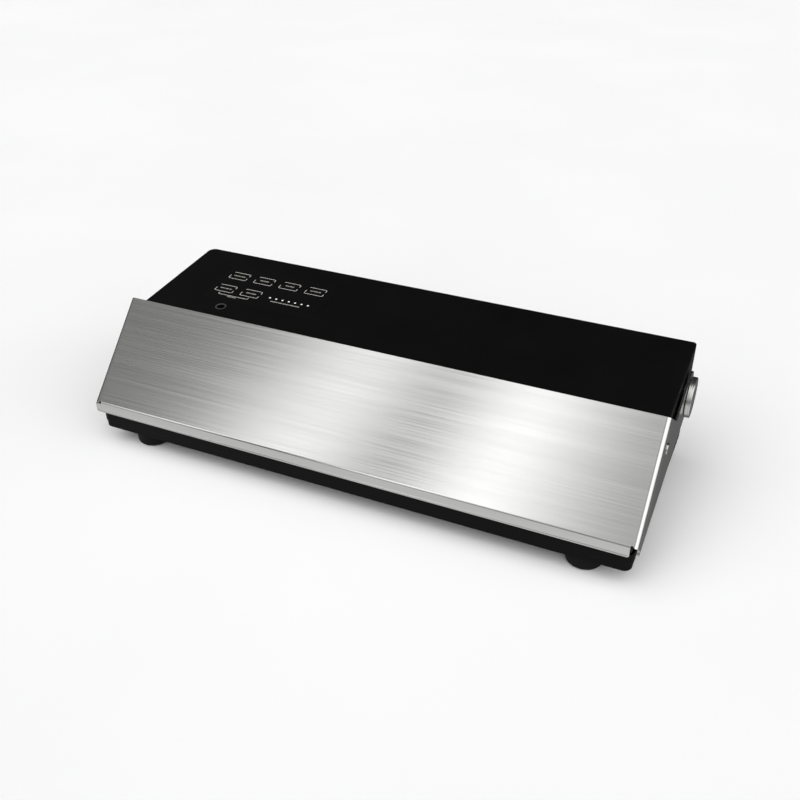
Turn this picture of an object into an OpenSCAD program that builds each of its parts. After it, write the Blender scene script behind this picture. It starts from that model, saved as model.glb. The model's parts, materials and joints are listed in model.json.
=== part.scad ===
// Countertop vacuum sealer for bags up to 280 mm wide.
// A black base and rear housing hold the pump, the power supply and the controls. A folded
// steel lid swings on two side pins and presses the bag's mouth on a heated sealing bar.
// Origin: middle of the footprint, on the table. +X is the user's right, +Y is the rear, +Z is up.

/* [Overall] */
// Width across the steel lid cover
cover_w = 400; // [400:5:480]
// Depth from the lid's front hem to the rear wall
depth = 160; // [150:2:200]
// Height of the housing's rear top edge above the table
rear_h = 93; // [90:1:112]
// How much lower the housing's front top edge is than its rear top edge
top_drop = 7.5; // [5:0.5:9]

/* [Walls and fits] */
// Wall of the moulded shells
wall = 2.5; // [2:0.1:3]
// Thickness of the lid's steel sheet
sheet_t = 1.5; // [1.2:0.1:1.8]
// Gap between the steel flanges and the body's sides
side_gap = 1.5; // [1.2:0.1:2.5]
// Radial clearance of a pin, bush or screw in its hole
fit = 0.05; // [0.02:0.01:0.1]
// Gap between parts that are set beside each other
play = 0.2; // [0.1:0.05:0.4]

/* [Lid cover] */
// Slope of the front panel above level, in degrees
panel_slope = 46; // [43:1:48]
// Length of the front panel up its slope
panel_len = 82; // [78:1:86]
// Height of the fold between panel and hem
fold_h = 34.6; // [34:0.2:38]
// Height of the hem below the fold
hem_h = 8.8; // [7:0.2:9]
// Outer radius of the bend between panel and flange
bend_r = 4; // [3:0.5:5]
// Outer radius of the fold between panel and hem
fold_r = 2.5; // [2.2:0.1:3]
// Radius of the rolled lower lip of the hem
bead_r = 1.4; // [1.2:0.1:1.6]
// Distance from the cover's side to the end of the hem
hem_back = 5.5; // [5:0.5:8]
// Height of the flange's lower front corner
flange_low = 28; // [27.5:0.5:29]
// How far the flange's upper edge runs back from the panel before the arm starts
neck_back = 26; // [20:1:30]
// How far that edge drops on the way
neck_drop = 18; // [14:1:20]

/* [Hinge] */
// Distance of the hinge axis from the rear wall
pivot_back = 31; // [28:1:34]
// Height of the hinge axis
pivot_h = 67.4; // [64:0.2:70]
// Radius of the arm's round end
arm_r = 17.5; // [15:0.5:18]
// Radius of the hinge pin
pin_r = 4; // [3:0.5:5]
// Radius of the pivot cap
cap_r = 14; // [12:0.5:15]
// Thickness of the pivot cap
cap_h = 3.5; // [3:0.1:5]
// Wall of the nylon bush between pin and arm
bush_wall = 1.5; // [1:0.1:2]

/* [Base] */
// Height of the base's underside above the table
foot_h = 13; // [11:0.5:15]
// Height of the bottom cover
tray_h = 5; // [4.5:0.5:6]
// Height of the sealing deck above the table
deck_h = 26; // [25.5:0.1:26.5]
// Thickness of the sealing deck
deck_t = 5; // [4.5:0.5:5]
// Distance of the base's front wall behind the hem's face
base_inset = 2.2; // [2:0.1:3]
// Radius of the body's corners seen from above
corner_r = 6; // [4:0.5:9]

/* [Sealing deck] */
// Distance from the hem's face to the sealing bar
bar_inset = 9; // [8:0.5:10]
// Width of the sealing bar
bar_w = 8; // [7:0.5:9]
// Length of the sealing bar
bar_len = 320; // [300:5:340]
// Width of the heating band
band_w = 2.6; // [2:0.2:4]
// Length of the vacuum chamber
chamber_l = 280; // [250:5:300]
// Width of the vacuum chamber
chamber_w = 17; // [14:0.5:18]
// Depth of the chamber below the deck
chamber_d = 8; // [6:0.5:8.5]
// Width of the foam gaskets
gasket_w = 5; // [4:0.5:6]
// Height of a gasket above the face that it sits in
gasket_proud = 1.2; // [1:0.1:1.3]
// Depth of the gasket grooves
groove_d = 2.4; // [2:0.1:2.4]

/* [Controls] */
// Distance of the first key's middle from the body's left side
key_left = 48.3; // [42:0.1:56]
// Distance of the rear key row from the rear edge, along the top
key_back = 33.9; // [30:0.1:38]
// Pitch of the keys along a row
key_pitch = 22.4; // [20:0.1:24]
// Distance between the two rows
row_pitch = 20.1; // [17:0.1:22]
// Width of a key
key_w = 16.4; // [13:0.2:17]
// Depth of a key, front to rear
key_d = 10.4; // [8:0.2:12]
// Travel of a key
key_travel = 0.4; // [0.2:0.1:0.4]
// Pitch of the indicator lamps
led_pitch = 5.4; // [4.5:0.1:6]
// Radius of an indicator lamp
led_r = 0.9; // [0.7:0.1:1.2]
// Thickness of the control overlay
overlay_t = 0.5; // [0.3:0.1:0.8]
// Radius of the accessory port's bore
port_r = 3; // [2.5:0.1:3.5]

/* [Feet] */
// Radius of a foot where it meets the base
foot_r = 12.5; // [10:0.5:14]
// Radius of a foot at the table
foot_low_r = 9.5; // [8:0.5:10]
// Distance of the feet from the middle, sideways
foot_x = 165; // [150:1:170]
// Distance of the front feet behind the hem's face
foot_front = 19; // [18:1:22]
// Distance of the rear feet from the rear wall
foot_rear = 22; // [18:1:26]

/* [Pump] */
// Radius of the motor can
motor_r = 17.5; // [15:0.5:19]
// Length of the motor can
motor_len = 55; // [45:1:60]
// Radius of the motor shaft
shaft_r = 2.5; // [2:0.1:3]
// Throw of the pump's crank
crank_throw = 2; // [1.5:0.1:2.5]
// Outer radius of the vacuum tubes
tube_r = 3.4; // [3:0.1:4]
// Bore radius of the vacuum tubes
tube_bore = 2; // [1.6:0.1:2.2]

/* [Hidden] */

$fn = 64;
eps = 0.01;
black = [0.06, 0.06, 0.06];
steel = [0.75, 0.75, 0.74];

yf = -depth / 2;
yr = depth / 2;
hw = cover_w / 2;
body_hw = hw - sheet_t - side_gap;
up = [cos(panel_slope), sin(panel_slope)];
inward = [sin(panel_slope), -cos(panel_slope)];
function on_panel(s, d = 0) = [yf, fold_h] + s * up + d * inward;
panel_top = on_panel(panel_len);
pivot = [yr - pivot_back, pivot_h];
swing_gap = 4;
house_front = panel_top[0] + swing_gap;
frame_rear = panel_top[0] - 1;
frame_low = deck_h + 3.6;
frame_hw = hw - bend_r - 0.5;
tray_top = foot_h + tray_h;
tray_floor = foot_h + wall;
front_top_h = rear_h - top_drop;
top_slope = atan(top_drop / (yr - house_front));

// Sealing deck layout, from the lid frame's rear wall forwards
gasket_back = frame_rear - 2;
chamber_back = gasket_back - gasket_w - 3;
chamber_front = chamber_back - chamber_w;
gasket_front = chamber_front - 3 - gasket_w;
chamber_hl = chamber_l / 2;
gasket_hl = chamber_hl + 3 + gasket_w;
bar_y = yf + bar_inset;
bar_top = deck_h + 0.6;
tape_t = 0.5;
band_t = 0.25;
upper_low = deck_h + gasket_proud + play;
nozzle_z = deck_h - 5;
nozzle_r = 2.5;

// Screw places
screw_r = 1.5;
column_r = 4;
column_x = body_hw - wall - column_r - 0.5;
columns = [for (x = [-column_x, column_x], y = [house_front + wall + column_r + 0.5,
    yr - wall - column_r - 0.5]) [x, y]];
front_boss_y = (chamber_front + chamber_back) / 2;
front_boss_x = body_hw - wall - column_r - 2;
feet = [for (x = [-foot_x, foot_x], y = [yf + foot_front, yr - foot_rear]) [x, y]];
foot_screw_len = tray_floor + 3 - 4;

// Controls, measured on the top from its rear edge
key_x = -body_hw + key_left;
key_places = [for (i = [0:3]) [key_x + i * key_pitch, -key_back],
    for (i = [0:1]) [key_x + i * key_pitch, -key_back - row_pitch]];
leds = [for (i = [0:6]) [key_x + 1.74 * key_pitch + i * led_pitch, -key_back - row_pitch]];
overlay_x = key_x - key_w / 2 - 5;
overlay_w = 3 * key_pitch + key_w + 12;
overlay_y = -key_back - row_pitch - key_d / 2 - 11;
overlay_d = row_pitch + key_d + 18;
board_top = -wall - 6;
board_t = 1.6;
posts = [for (x = [overlay_x + 2.5, overlay_x + overlay_w - 2.5],
    y = [overlay_y + 2.5, overlay_y + overlay_d - 2.5]) [x, y]];
post_r = 2.4;
switch_h = 2;
port_x = key_x + 10.6;
port_y = overlay_y - 8;
port_wall = 1.3;
port_len = 14;

// Pump line
pump_y = (house_front + yr) / 2 + 5.5;
pump_z = 50;
motor_x = 30;
plate_x = motor_x + motor_len;
plate_t = 2;
case_x = plate_x + plate_t;
case_l = 30;
case_half = 21;
cavity_r = 12;
head_x = case_x + case_l / 2;
head_r = 12;
head_l = 12;
head_front = pump_y - case_half - head_l / 2;
spigot_r = 2;
spigot_l = 5;
elbow_r = 8;
fan_x = motor_x - 10;
fan_t = 6;
valve_x = port_x;
valve_y = head_front;
valve_top = 56;
valve_h = 24;
valve_w = 22;
valve_outlet_z = pump_z;
board_x = -84;
board_y = pump_y - 2;
gland_x = 150;
gland_z = deck_h + 14;
gland_r = 6;
gland_bore = 3.4;
pocket_d = 5;
pocket_half = 10;
switch_x = -(gasket_hl + 20);
peg_r = 2;
peg_y = front_boss_y;

module both_sides() {
    children();
    mirror([1, 0, 0]) children();
}

// Extrudes an outline drawn in Y and Z from x0 to x1
module across(x0, x1) {
    translate([x0, 0, 0]) rotate([90, 0, 90]) linear_extrude(x1 - x0) children();
}

// A bar along X from x0 to x1 with its axis at y, z
module rod_x(x0, x1, y, z, r) {
    translate([x0, y, z]) rotate([0, 90, 0]) cylinder(r = r, h = x1 - x0);
}

// A bar along Y from y0 to y1 with its axis at x, z
module rod_y(y0, y1, x, z, r) {
    translate([x, y0, z]) rotate([-90, 0, 0]) cylinder(r = r, h = y1 - y0);
}

module box(low, high) {
    translate(low) cube(high - low);
}

// Rounded rectangle between two corners
module rounded(low, high, r) {
    translate(low + [r, 0]) square(high - low - [2 * r, 0]);
    translate(low + [0, r]) square(high - low - [0, 2 * r]);
    for (x = [low[0] + r, high[0] - r], y = [low[1] + r, high[1] - r])
        translate([x, y]) circle(r);
}

// Places what follows on the sloped top: y = 0 is the rear edge, z = 0 the outer face
module on_top() {
    translate([0, yr, rear_h]) rotate([top_slope, 0, 0]) children();
}

// Places what follows on the steel panel: y runs up the slope from the fold, z = 0 is its face
module on_cover() {
    translate([0, yf, fold_h]) rotate([panel_slope, 0, 0]) children();
}

function arc(c, r, a0, a1, n = 8) =
    [for (i = [0:n]) c + r * [cos(a0 + (a1 - a0) * i / n), sin(a0 + (a1 - a0) * i / n)]];

// Point where the line from p touches a circle, above it (side 1) or below it (side -1)
function touch(p, c, r, side) =
    let (v = c - p, a = atan2(v[1], v[0]) + side * asin(r / norm(v)), l = sqrt(v * v - r * r))
    p + l * [cos(a), sin(a)];

// Outline of the base and the housing seen from above
module plan(y0, inset = 0, front_r = corner_r) {
    low = [-body_hw + inset, y0 + inset];
    high = [body_hw - inset, yr - inset];
    r = max(corner_r - inset, 1);
    rf = max(front_r - inset, 1);
    union() {
        rounded(low, high, min(r, rf));
        translate([low[0], low[1] + rf]) square([high[0] - low[0], 10]);
    }
}

// ---- Base ----

module gasket_outline() {
    difference() {
        rounded([-gasket_hl, gasket_front], [gasket_hl, gasket_back], gasket_w + 1);
        rounded([-gasket_hl + gasket_w, gasket_front + gasket_w],
            [gasket_hl - gasket_w, gasket_back - gasket_w], 1);
    }
}

module base_shell() {
    base_y = yf + base_inset;
    color(black) difference() {
        union() {
            translate([0, 0, tray_top]) linear_extrude(deck_h - tray_top) difference() {
                plan(base_y);
                plan(base_y, wall);
            }
            translate([0, 0, deck_h - deck_t]) linear_extrude(deck_t) intersection() {
                plan(base_y);
                translate([-hw, yf]) square([cover_w, house_front + wall - yf]);
            }
            // Walls and floor of the vacuum chamber
            box([-chamber_hl - 2, chamber_front - 2, deck_h - chamber_d - 2],
                [chamber_hl + 2, chamber_back + 2, deck_h]);
            // Channel under the sealing bar
            box([-bar_len / 2 - 2, bar_y - 2, deck_h - 6], [bar_len / 2 + 2, bar_y + bar_w + 2, deck_h]);
            rod_y(chamber_back, house_front + wall, head_x, nozzle_z, 4);
            both_sides() translate([front_boss_x, front_boss_y, tray_floor])
                cylinder(r = column_r, h = deck_h - deck_t - tray_floor + 1);
        }
        box([-chamber_hl, chamber_front, deck_h - chamber_d], [chamber_hl, chamber_back, deck_h + 1]);
        box([-bar_len / 2 - play, bar_y - play, deck_h - 4],
            [bar_len / 2 + play, bar_y + bar_w + play, deck_h + 1]);
        translate([0, 0, deck_h - groove_d]) linear_extrude(groove_d + 1) gasket_outline();
        rod_y(chamber_back - 1, house_front + wall + 1, head_x, nozzle_z, nozzle_r + fit);
        both_sides() translate([front_boss_x, front_boss_y, tray_floor - 1])
            cylinder(r = screw_r + fit, h = 6.5);
        // Slot that the lid's peg enters to press the lid switch
        box([switch_x - peg_r - 1, peg_y - 6, deck_h - deck_t - 1],
            [switch_x + peg_r + 1, peg_y + 4, deck_h + 1]);
    }
}

module bottom_cover() {
    low = [-body_hw + 0.6, yf + base_inset + 0.6];
    color([0.08, 0.08, 0.08]) difference() {
        union() {
            translate([0, 0, foot_h]) linear_extrude(wall) plan(yf + base_inset, 0.6);
            translate([0, 0, tray_floor - eps]) linear_extrude(tray_h - wall + eps) difference() {
                plan(yf + base_inset, 0.6);
                plan(yf + base_inset, wall);
            }
            for (p = feet) translate([p[0], p[1], foot_h + 1]) cylinder(r = 4, h = wall + 2);
            // Posts of the power board
            for (x = [-42, 42], y = [-24, 24])
                translate([board_x + x, board_y + y, tray_floor - 1]) cylinder(r = 3, h = 5);
            // Tower under the release valve
            box([valve_x - 8, valve_y - 8, tray_floor - 1],
                [valve_x + 4, valve_y + 8, valve_top - valve_h]);
        }
        for (p = feet) translate([p[0], p[1], foot_h - 1]) cylinder(r = screw_r + fit, h = 10);
        for (p = columns) translate([p[0], p[1], foot_h - 1]) {
            cylinder(r = screw_r + fit, h = 10);
            cylinder(r = 3.2, h = 2.2);
        }
        both_sides() translate([front_boss_x, front_boss_y, foot_h - 1]) {
            cylinder(r = screw_r + fit, h = 10);
            cylinder(r = 3.2, h = 2.2);
        }
        // Cooling slots under the pump motor and the power board
        for (x = [plate_x - 62:6:plate_x - 14])
            box([x, pump_y - 12, foot_h - 1], [x + 2.4, pump_y + 18, tray_floor + 1]);
        for (x = [board_x - 30:6:board_x + 28])
            box([x, board_y - 16, foot_h - 1], [x + 2.4, board_y + 16, tray_floor + 1]);
    }
}

module foot_profile() {
    round_r = 3;
    c = [foot_low_r, round_r];
    polygon(concat([[screw_r + fit, 3], [3.4, 3], [3.4, 0], [foot_low_r, 0]],
        arc(c, round_r, -90, -20, 6), [[foot_r, foot_h - 2], [foot_r, foot_h], [screw_r + fit, foot_h]]));
}

module rubber_feet() {
    color([0.04, 0.04, 0.04]) for (p = feet) translate([p[0], p[1], 0]) rotate_extrude() foot_profile();
}

module screw(head_r, head_h, len) {
    cylinder(r = head_r, h = head_h);
    translate([0, 0, head_h - eps]) cylinder(r = screw_r, h = len + eps);
}

module foot_screws() {
    color("silver") for (p = feet) translate([p[0], p[1], 1.4]) screw(3, 1.6, foot_screw_len - 0.6);
}

module housing_screws() {
    color("silver") {
        for (p = columns) translate([p[0], p[1], foot_h - 0.4]) screw(2.9, 1.6, 14);
        both_sides() translate([front_boss_x, front_boss_y, foot_h - 0.4]) screw(2.9, 1.6, 5.5);
    }
}

// ---- Sealing deck ----

module sealing_bar() {
    color([0.8, 0.78, 0.72]) box([-bar_len / 2, bar_y, deck_h - 4], [bar_len / 2, bar_y + bar_w, bar_top]);
}

module heating_band() {
    mid = bar_y + bar_w / 2;
    color([0.5, 0.48, 0.45])
        box([-bar_len / 2 + 6, mid - band_w / 2, bar_top], [bar_len / 2 - 6, mid + band_w / 2, bar_top + band_t]);
}

module seal_tape() {
    mid = bar_y + bar_w / 2;
    color([0.55, 0.42, 0.28]) difference() {
        box([-bar_len / 2, bar_y + 0.2, bar_top], [bar_len / 2, bar_y + bar_w - 0.2, bar_top + tape_t]);
        box([-bar_len / 2 + 6, mid - band_w / 2, bar_top - 1],
            [bar_len / 2 - 6, mid + band_w / 2, bar_top + band_t]);
    }
}

module lower_gasket() {
    color([0.12, 0.12, 0.12]) translate([0, 0, deck_h - groove_d])
        linear_extrude(groove_d + gasket_proud) gasket_outline();
}

module vacuum_nozzle() {
    color([0.85, 0.85, 0.82]) difference() {
        union() {
            rod_y(chamber_back - 1.5, chamber_back, head_x, nozzle_z, nozzle_r + 0.4);
            rod_y(chamber_back - eps, house_front + wall + 6, head_x, nozzle_z, nozzle_r);
        }
        rod_y(chamber_back - 3, house_front + wall + 8, head_x, nozzle_z, 1.5);
    }
}

// ---- Rear housing ----

module housing_side(inset) {
    polygon([[house_front + inset, deck_h - (inset > 0 ? 1 : 0)], [yr - inset, deck_h - (inset > 0 ? 1 : 0)],
        [yr - inset, rear_h - inset / cos(top_slope) - inset * tan(top_slope)],
        [house_front + inset, front_top_h - inset / cos(top_slope) + inset * tan(top_slope)]]);
}

module housing_form(inset) {
    intersection() {
        across(-hw, hw) housing_side(inset);
        linear_extrude(2 * rear_h) plan(house_front, inset, 2);
    }
}

module top_housing() {
    color(black) difference() {
        union() {
            difference() {
                housing_form(0);
                housing_form(wall);
            }
            intersection() {
                for (p = columns) translate([p[0], p[1], tray_floor]) cylinder(r = column_r, h = rear_h);
                across(-hw, hw) polygon([[house_front, 0], [yr, 0], [yr, rear_h - 1], [house_front, front_top_h - 1]]);
            }
            both_sides() rod_x(body_hw - wall - 8, body_hw - wall + 1, pivot[0], pivot[1], 9);
            on_top() for (p = posts) translate([p[0], p[1], board_top]) cylinder(r = post_r, h = wall - board_top - 3);
            // Pocket that the cord gland sits in
            box([gland_x - pocket_half - wall, yr - pocket_d - wall, gland_z - pocket_half - wall],
                [gland_x + pocket_half + wall, yr - 1, gland_z + pocket_half + wall]);
        }
        for (p = columns) translate([p[0], p[1], tray_floor - 1]) cylinder(r = screw_r + fit, h = 16);
        both_sides() rod_x(body_hw - wall - 9, body_hw + 1, pivot[0], pivot[1], pin_r + fit);
        box([gland_x - pocket_half, yr - pocket_d, gland_z - pocket_half],
            [gland_x + pocket_half, yr + 1, gland_z + pocket_half]);
        rod_y(yr - pocket_d - wall - 1, yr, gland_x, gland_z, gland_r + fit);
        on_top() {
            translate([0, 0, -overlay_t]) linear_extrude(2) overlay_outline(0.15);
            for (p = key_places) translate([p[0], p[1], -wall - 1]) linear_extrude(wall + 2) key_outline(play);
            for (p = leds) translate([p[0], p[1], -wall - 1]) cylinder(r = led_r + fit, h = wall + 2);
            for (p = posts) translate([p[0], p[1], board_top - 1]) cylinder(r = 1.1 + fit, h = 6);
            translate([port_x, port_y, -wall - 1]) cylinder(r = port_r + port_wall + fit, h = wall + 2);
        }
    }
}

module cord_gland() {
    color([0.05, 0.05, 0.05]) difference() {
        union() {
            rod_y(yr - pocket_d - wall - 3, yr - pocket_d, gland_x, gland_z, gland_r);
            rod_y(yr - pocket_d, yr - pocket_d + 2, gland_x, gland_z, gland_r + 2.5);
            rod_y(yr - pocket_d + 2 - eps, yr - 0.5, gland_x, gland_z, gland_r - 1);
        }
        rod_y(yr - pocket_d - wall - 4, yr, gland_x, gland_z, gland_bore);
    }
}

// ---- Controls ----

module key_outline(gap = 0) {
    rounded([-key_w / 2 - gap, -key_d / 2 - gap], [key_w / 2 + gap, key_d / 2 + gap], 1.4 + gap);
}

module overlay_outline(gap = 0) {
    rounded([overlay_x - gap, overlay_y - gap], [overlay_x + overlay_w + gap, overlay_y + overlay_d + gap], 3 + gap);
}

module control_overlay() {
    color([0.03, 0.03, 0.035]) on_top() difference() {
        translate([0, 0, -overlay_t]) linear_extrude(overlay_t) overlay_outline();
        for (p = key_places) translate([p[0], p[1], -2]) linear_extrude(3) key_outline(play);
        for (p = leds) translate([p[0], p[1], -2]) cylinder(r = led_r + fit, h = 3);
    }
}

module control_board() {
    color([0.1, 0.35, 0.15]) on_top() difference() {
        translate([0, 0, board_top - board_t]) linear_extrude(board_t) overlay_outline();
        for (p = posts) translate([p[0], p[1], board_top - 3]) cylinder(r = 1.1 + fit, h = 4);
    }
}

module board_screws() {
    color("silver") on_top() for (p = posts) translate([p[0], p[1], board_top - board_t - 1.2]) {
        cylinder(r = 2, h = 1.2);
        cylinder(r = 1.1, h = 1.2 + board_t + 4);
    }
}

module key_switches() {
    color([0.2, 0.2, 0.2]) on_top() for (p = key_places) translate([p[0], p[1], board_top]) {
        translate([-3, -3, 0]) cube([6, 6, switch_h - 0.6]);
        cylinder(r = 1.6, h = switch_h);
    }
}

// A key cap: its flange sits under the housing's top and its stem stands over a switch
module key(i) {
    color([0.07, 0.07, 0.075]) on_top() translate([key_places[i][0], key_places[i][1], 0]) {
        translate([0, 0, -wall - 1]) linear_extrude(wall + 1) key_outline();
        translate([0, 0, -wall - 1.2]) linear_extrude(1.1) key_outline(play + 0.7);
        translate([-2, -2, board_top + switch_h + key_travel + 0.1])
            cube([4, 4, -wall - 1 - (board_top + switch_h + key_travel + 0.1) + 0.5]);
    }
}

module power_key() key(0);
module start_key() key(1);
module seal_key() key(2);
module pulse_key() key(3);
module moist_key() key(4);
module canister_key() key(5);

module indicator_lamps() {
    color("white") on_top() for (p = leds) translate([p[0], p[1], board_top]) cylinder(r = led_r, h = -board_top);
}

module accessory_port() {
    color(black) on_top() translate([port_x, port_y, 0]) difference() {
        union() {
            translate([0, 0, -port_len]) cylinder(r = port_r + port_wall, h = port_len);
            translate([0, 0, -wall - 1.6]) cylinder(r = port_r + port_wall + 1.5, h = 1.5);
            translate([0, 0, -port_len - spigot_l]) cylinder(r = spigot_r, h = spigot_l + 1);
        }
        translate([0, 0, -10]) cylinder(r = port_r, h = 11);
        translate([0, 0, -port_len - spigot_l - 1]) cylinder(r = 1.2, h = port_len);
    }
}

// ---- Vacuum line ----

module release_valve() {
    y0 = valve_y - valve_w / 2;
    color([0.3, 0.3, 0.32]) difference() {
        union() {
            box([valve_x - valve_w / 2, y0, valve_top - valve_h], [valve_x + valve_w / 2, y0 + valve_w, valve_top]);
            translate([valve_x, valve_y + 5.5, valve_top - 1]) cylinder(r = 4.5, h = 7);
            rod_x(valve_x + valve_w / 2 - 1, valve_x + valve_w / 2 + spigot_l, valve_y, valve_outlet_z, spigot_r);
            intersection() {
                on_top() translate([port_x, port_y, -60]) cylinder(r = spigot_r, h = 60);
                box([valve_x - 5, valve_y - 20, valve_top - 4], [valve_x + 5, valve_y + 20, valve_top + spigot_l]);
            }
        }
        rod_x(valve_x, valve_x + valve_w / 2 + spigot_l + 1, valve_y, valve_outlet_z, 1.2);
    }
}

module tube_ring(bore) {
    difference() {
        circle(tube_r);
        circle(bore);
    }
}

// Soft tube from the accessory port down to the release valve
module port_tube() {
    color([0.75, 0.78, 0.8]) intersection() {
        on_top() translate([port_x, port_y, -rear_h]) linear_extrude(rear_h - port_len - play)
            tube_ring(tube_bore + fit);
        box([port_x - 6, yf, valve_top + play], [port_x + 6, yr, rear_h]);
    }
}

// Soft tube from the release valve along the housing to the pump's front head
module valve_tube() {
    x0 = valve_x + valve_w / 2 + play;
    x1 = head_x - head_r - play;
    color([0.75, 0.78, 0.8]) translate([x0, valve_y, valve_outlet_z]) rotate([0, 90, 0])
        linear_extrude(x1 - x0) tube_ring(tube_bore + fit);
}

// Soft tubes from the chamber's nozzle to the elbow, and from the elbow up to the pump's front head
module pump_tube() {
    y0 = house_front + wall + play;
    z0 = nozzle_z + elbow_r + play;
    bore = nozzle_r + fit;
    color([0.75, 0.78, 0.8]) {
        translate([head_x, y0, nozzle_z]) rotate([-90, 0, 0])
            linear_extrude(head_front - elbow_r - play - y0) tube_ring(bore);
        translate([head_x, head_front, z0]) linear_extrude(pump_z - head_r - play - z0) tube_ring(bore);
    }
}

module tube_elbow() {
    color([0.85, 0.85, 0.82]) translate([head_x, head_front - elbow_r, nozzle_z + elbow_r])
        rotate([90, 0, 90]) rotate([0, 0, -90]) rotate_extrude(angle = 90)
            translate([elbow_r, 0]) tube_ring(tube_bore);
}

// ---- Pump ----

module pump_motor() {
    color([0.6, 0.6, 0.62]) difference() {
        union() {
            rod_x(motor_x, plate_x, pump_y, pump_z, motor_r);
            rod_x(motor_x - 2, motor_x + 1, pump_y, pump_z, 6);
        }
        rod_x(motor_x - 3, plate_x + 1, pump_y, pump_z, shaft_r + fit);
    }
}

module motor_bracket() {
    low = tray_floor;
    color([0.7, 0.7, 0.7]) difference() {
        union() {
            box([plate_x, pump_y - case_half, low], [case_x, pump_y + case_half, pump_z + case_half]);
            box([plate_x - 18, pump_y - case_half, low], [case_x, pump_y + case_half, low + 2]);
        }
        rod_x(plate_x - 1, case_x + 1, pump_y, pump_z, 5);
        for (y = [-14, 14]) translate([plate_x - 9, pump_y + y, low - 1]) cylinder(r = screw_r + fit, h = 5);
    }
}

module bracket_screws() {
    color("silver") for (y = [-14, 14])
        translate([plate_x - 9, pump_y + y, tray_floor + 2 + 1.6]) mirror([0, 0, 1]) screw(2.9, 1.6, 2);
}

module pump_body() {
    color([0.16, 0.16, 0.17]) difference() {
        box([case_x, pump_y - case_half, pump_z - case_half],
            [case_x + case_l, pump_y + case_half, pump_z + case_half]);
        rod_x(case_x + 3, case_x + case_l + 1, pump_y, pump_z, cavity_r);
        rod_x(case_x - 1, case_x + 4, pump_y, pump_z, shaft_r + fit);
    }
}

module pump_end_plate() {
    color([0.2, 0.2, 0.21])
        box([case_x + case_l, pump_y - case_half, pump_z - case_half],
            [case_x + case_l + 2.5, pump_y + case_half, pump_z + case_half]);
}

// The two heads stand on the front and rear of the crankcase
module pump_heads() {
    color([0.22, 0.22, 0.23]) difference() {
        union() {
            for (y = [pump_y - case_half - head_l, pump_y + case_half]) {
                rod_y(y, y + head_l, head_x, pump_z, head_r);
            }
            translate([head_x, head_front, pump_z - head_r - spigot_l])
                cylinder(r = nozzle_r, h = head_r + spigot_l);
            rod_x(head_x - head_r - spigot_l, head_x, head_front, pump_z, spigot_r);
        }
        translate([head_x, head_front, pump_z - head_r - spigot_l - 1]) cylinder(r = 1.2, h = head_r + spigot_l + 1);
        rod_x(head_x - head_r - spigot_l - 1, head_x, head_front, pump_z, 1.2);
    }
}

module motor_shaft() {
    color("silver") rod_x(fan_x - 2, case_x + case_l - 4, pump_y, pump_z, shaft_r);
}

module pump_crank() {
    x0 = case_x + 8;
    color([0.75, 0.65, 0.35]) difference() {
        union() {
            rod_x(x0, x0 + 12, pump_y + crank_throw, pump_z, 7);
            rod_x(x0 - 2, x0 + 14, pump_y, pump_z, shaft_r + 1.6);
        }
        rod_x(x0 - 3, x0 + 15, pump_y, pump_z, shaft_r + fit);
    }
}

module cooling_fan() {
    blades = 7;
    color([0.15, 0.15, 0.16]) difference() {
        union() {
            rod_x(fan_x, fan_x + fan_t, pump_y, pump_z, 5);
            translate([fan_x, pump_y, pump_z]) rotate([0, 90, 0]) for (i = [0:blades - 1])
                rotate([0, 0, i * 360 / blades]) translate([4, -0.6, 0]) rotate([14, 0, 0]) cube([11, 1.2, fan_t]);
        }
        rod_x(fan_x - 3, fan_x + fan_t + 3, pump_y, pump_z, shaft_r + fit);
    }
}

// ---- Power supply and switch ----

module power_board() {
    z0 = tray_floor + 4;
    color([0.1, 0.32, 0.15]) box([board_x - 48, board_y - 29, z0], [board_x + 48, board_y + 29, z0 + board_t]);
}

module transformer() {
    z0 = tray_floor + 4 + board_t;
    cx = board_x - 18;
    color([0.35, 0.33, 0.32]) {
        box([cx - 24, board_y - 14, z0 + 2], [cx + 24, board_y + 14, z0 + 38]);
        box([cx - 16, board_y - 20, z0], [cx + 16, board_y + 20, z0 + 30]);
    }
}

module power_parts() {
    z0 = tray_floor + 4 + board_t;
    color([0.2, 0.3, 0.55]) {
        for (y = [-18, -4]) translate([board_x + 20, board_y + y, z0]) cylinder(r = 5, h = 18);
        box([board_x + 30, board_y - 22, z0], [board_x + 44, board_y - 2, z0 + 15]);
        box([board_x + 14, board_y + 8, z0], [board_x + 42, board_y + 22, z0 + 12]);
    }
}

module lid_switch() {
    color([0.12, 0.12, 0.14]) {
        box([switch_x - 6, peg_y - 9, tray_floor], [switch_x + 6, peg_y + 9, deck_h - deck_t]);
        translate([switch_x, peg_y, deck_h - deck_t - 1]) cylinder(r = 1.2, h = 3.6);
    }
}

// ---- Hinge ----

module hinge_pins() {
    color("silver") both_sides() {
        rod_x(body_hw - wall - 11, hw + 0.4, pivot[0], pivot[1], pin_r);
        rod_x(body_hw - wall - 13, body_hw - wall - 11 + eps, pivot[0], pivot[1], pin_r + 2.5);
        rod_x(hw + 0.4 - eps, hw + 0.4 + cap_h - 1.2, pivot[0], pivot[1], pin_r - 1);
    }
}

// Outline of half a pivot cap: radius, then height above the arm
module cap_profile() {
    r_in = pin_r - 1 + fit;
    h = cap_h;
    polygon([[r_in, 0], [cap_r, 0], [cap_r, 0.36 * h], [cap_r - 0.5, 0.4 * h], [cap_r - 0.5, 0.48 * h],
        [cap_r, 0.52 * h], [cap_r, h - 0.6], [cap_r - 0.6, h], [0, h], [0, h - 1.2 + 0.05], [r_in, h - 1.2 + 0.05]]);
}

module pivot_caps() {
    color(steel) both_sides() translate([hw + 0.4, pivot[0], pivot[1]]) rotate([0, 90, 0])
        rotate_extrude() cap_profile();
}

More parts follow.
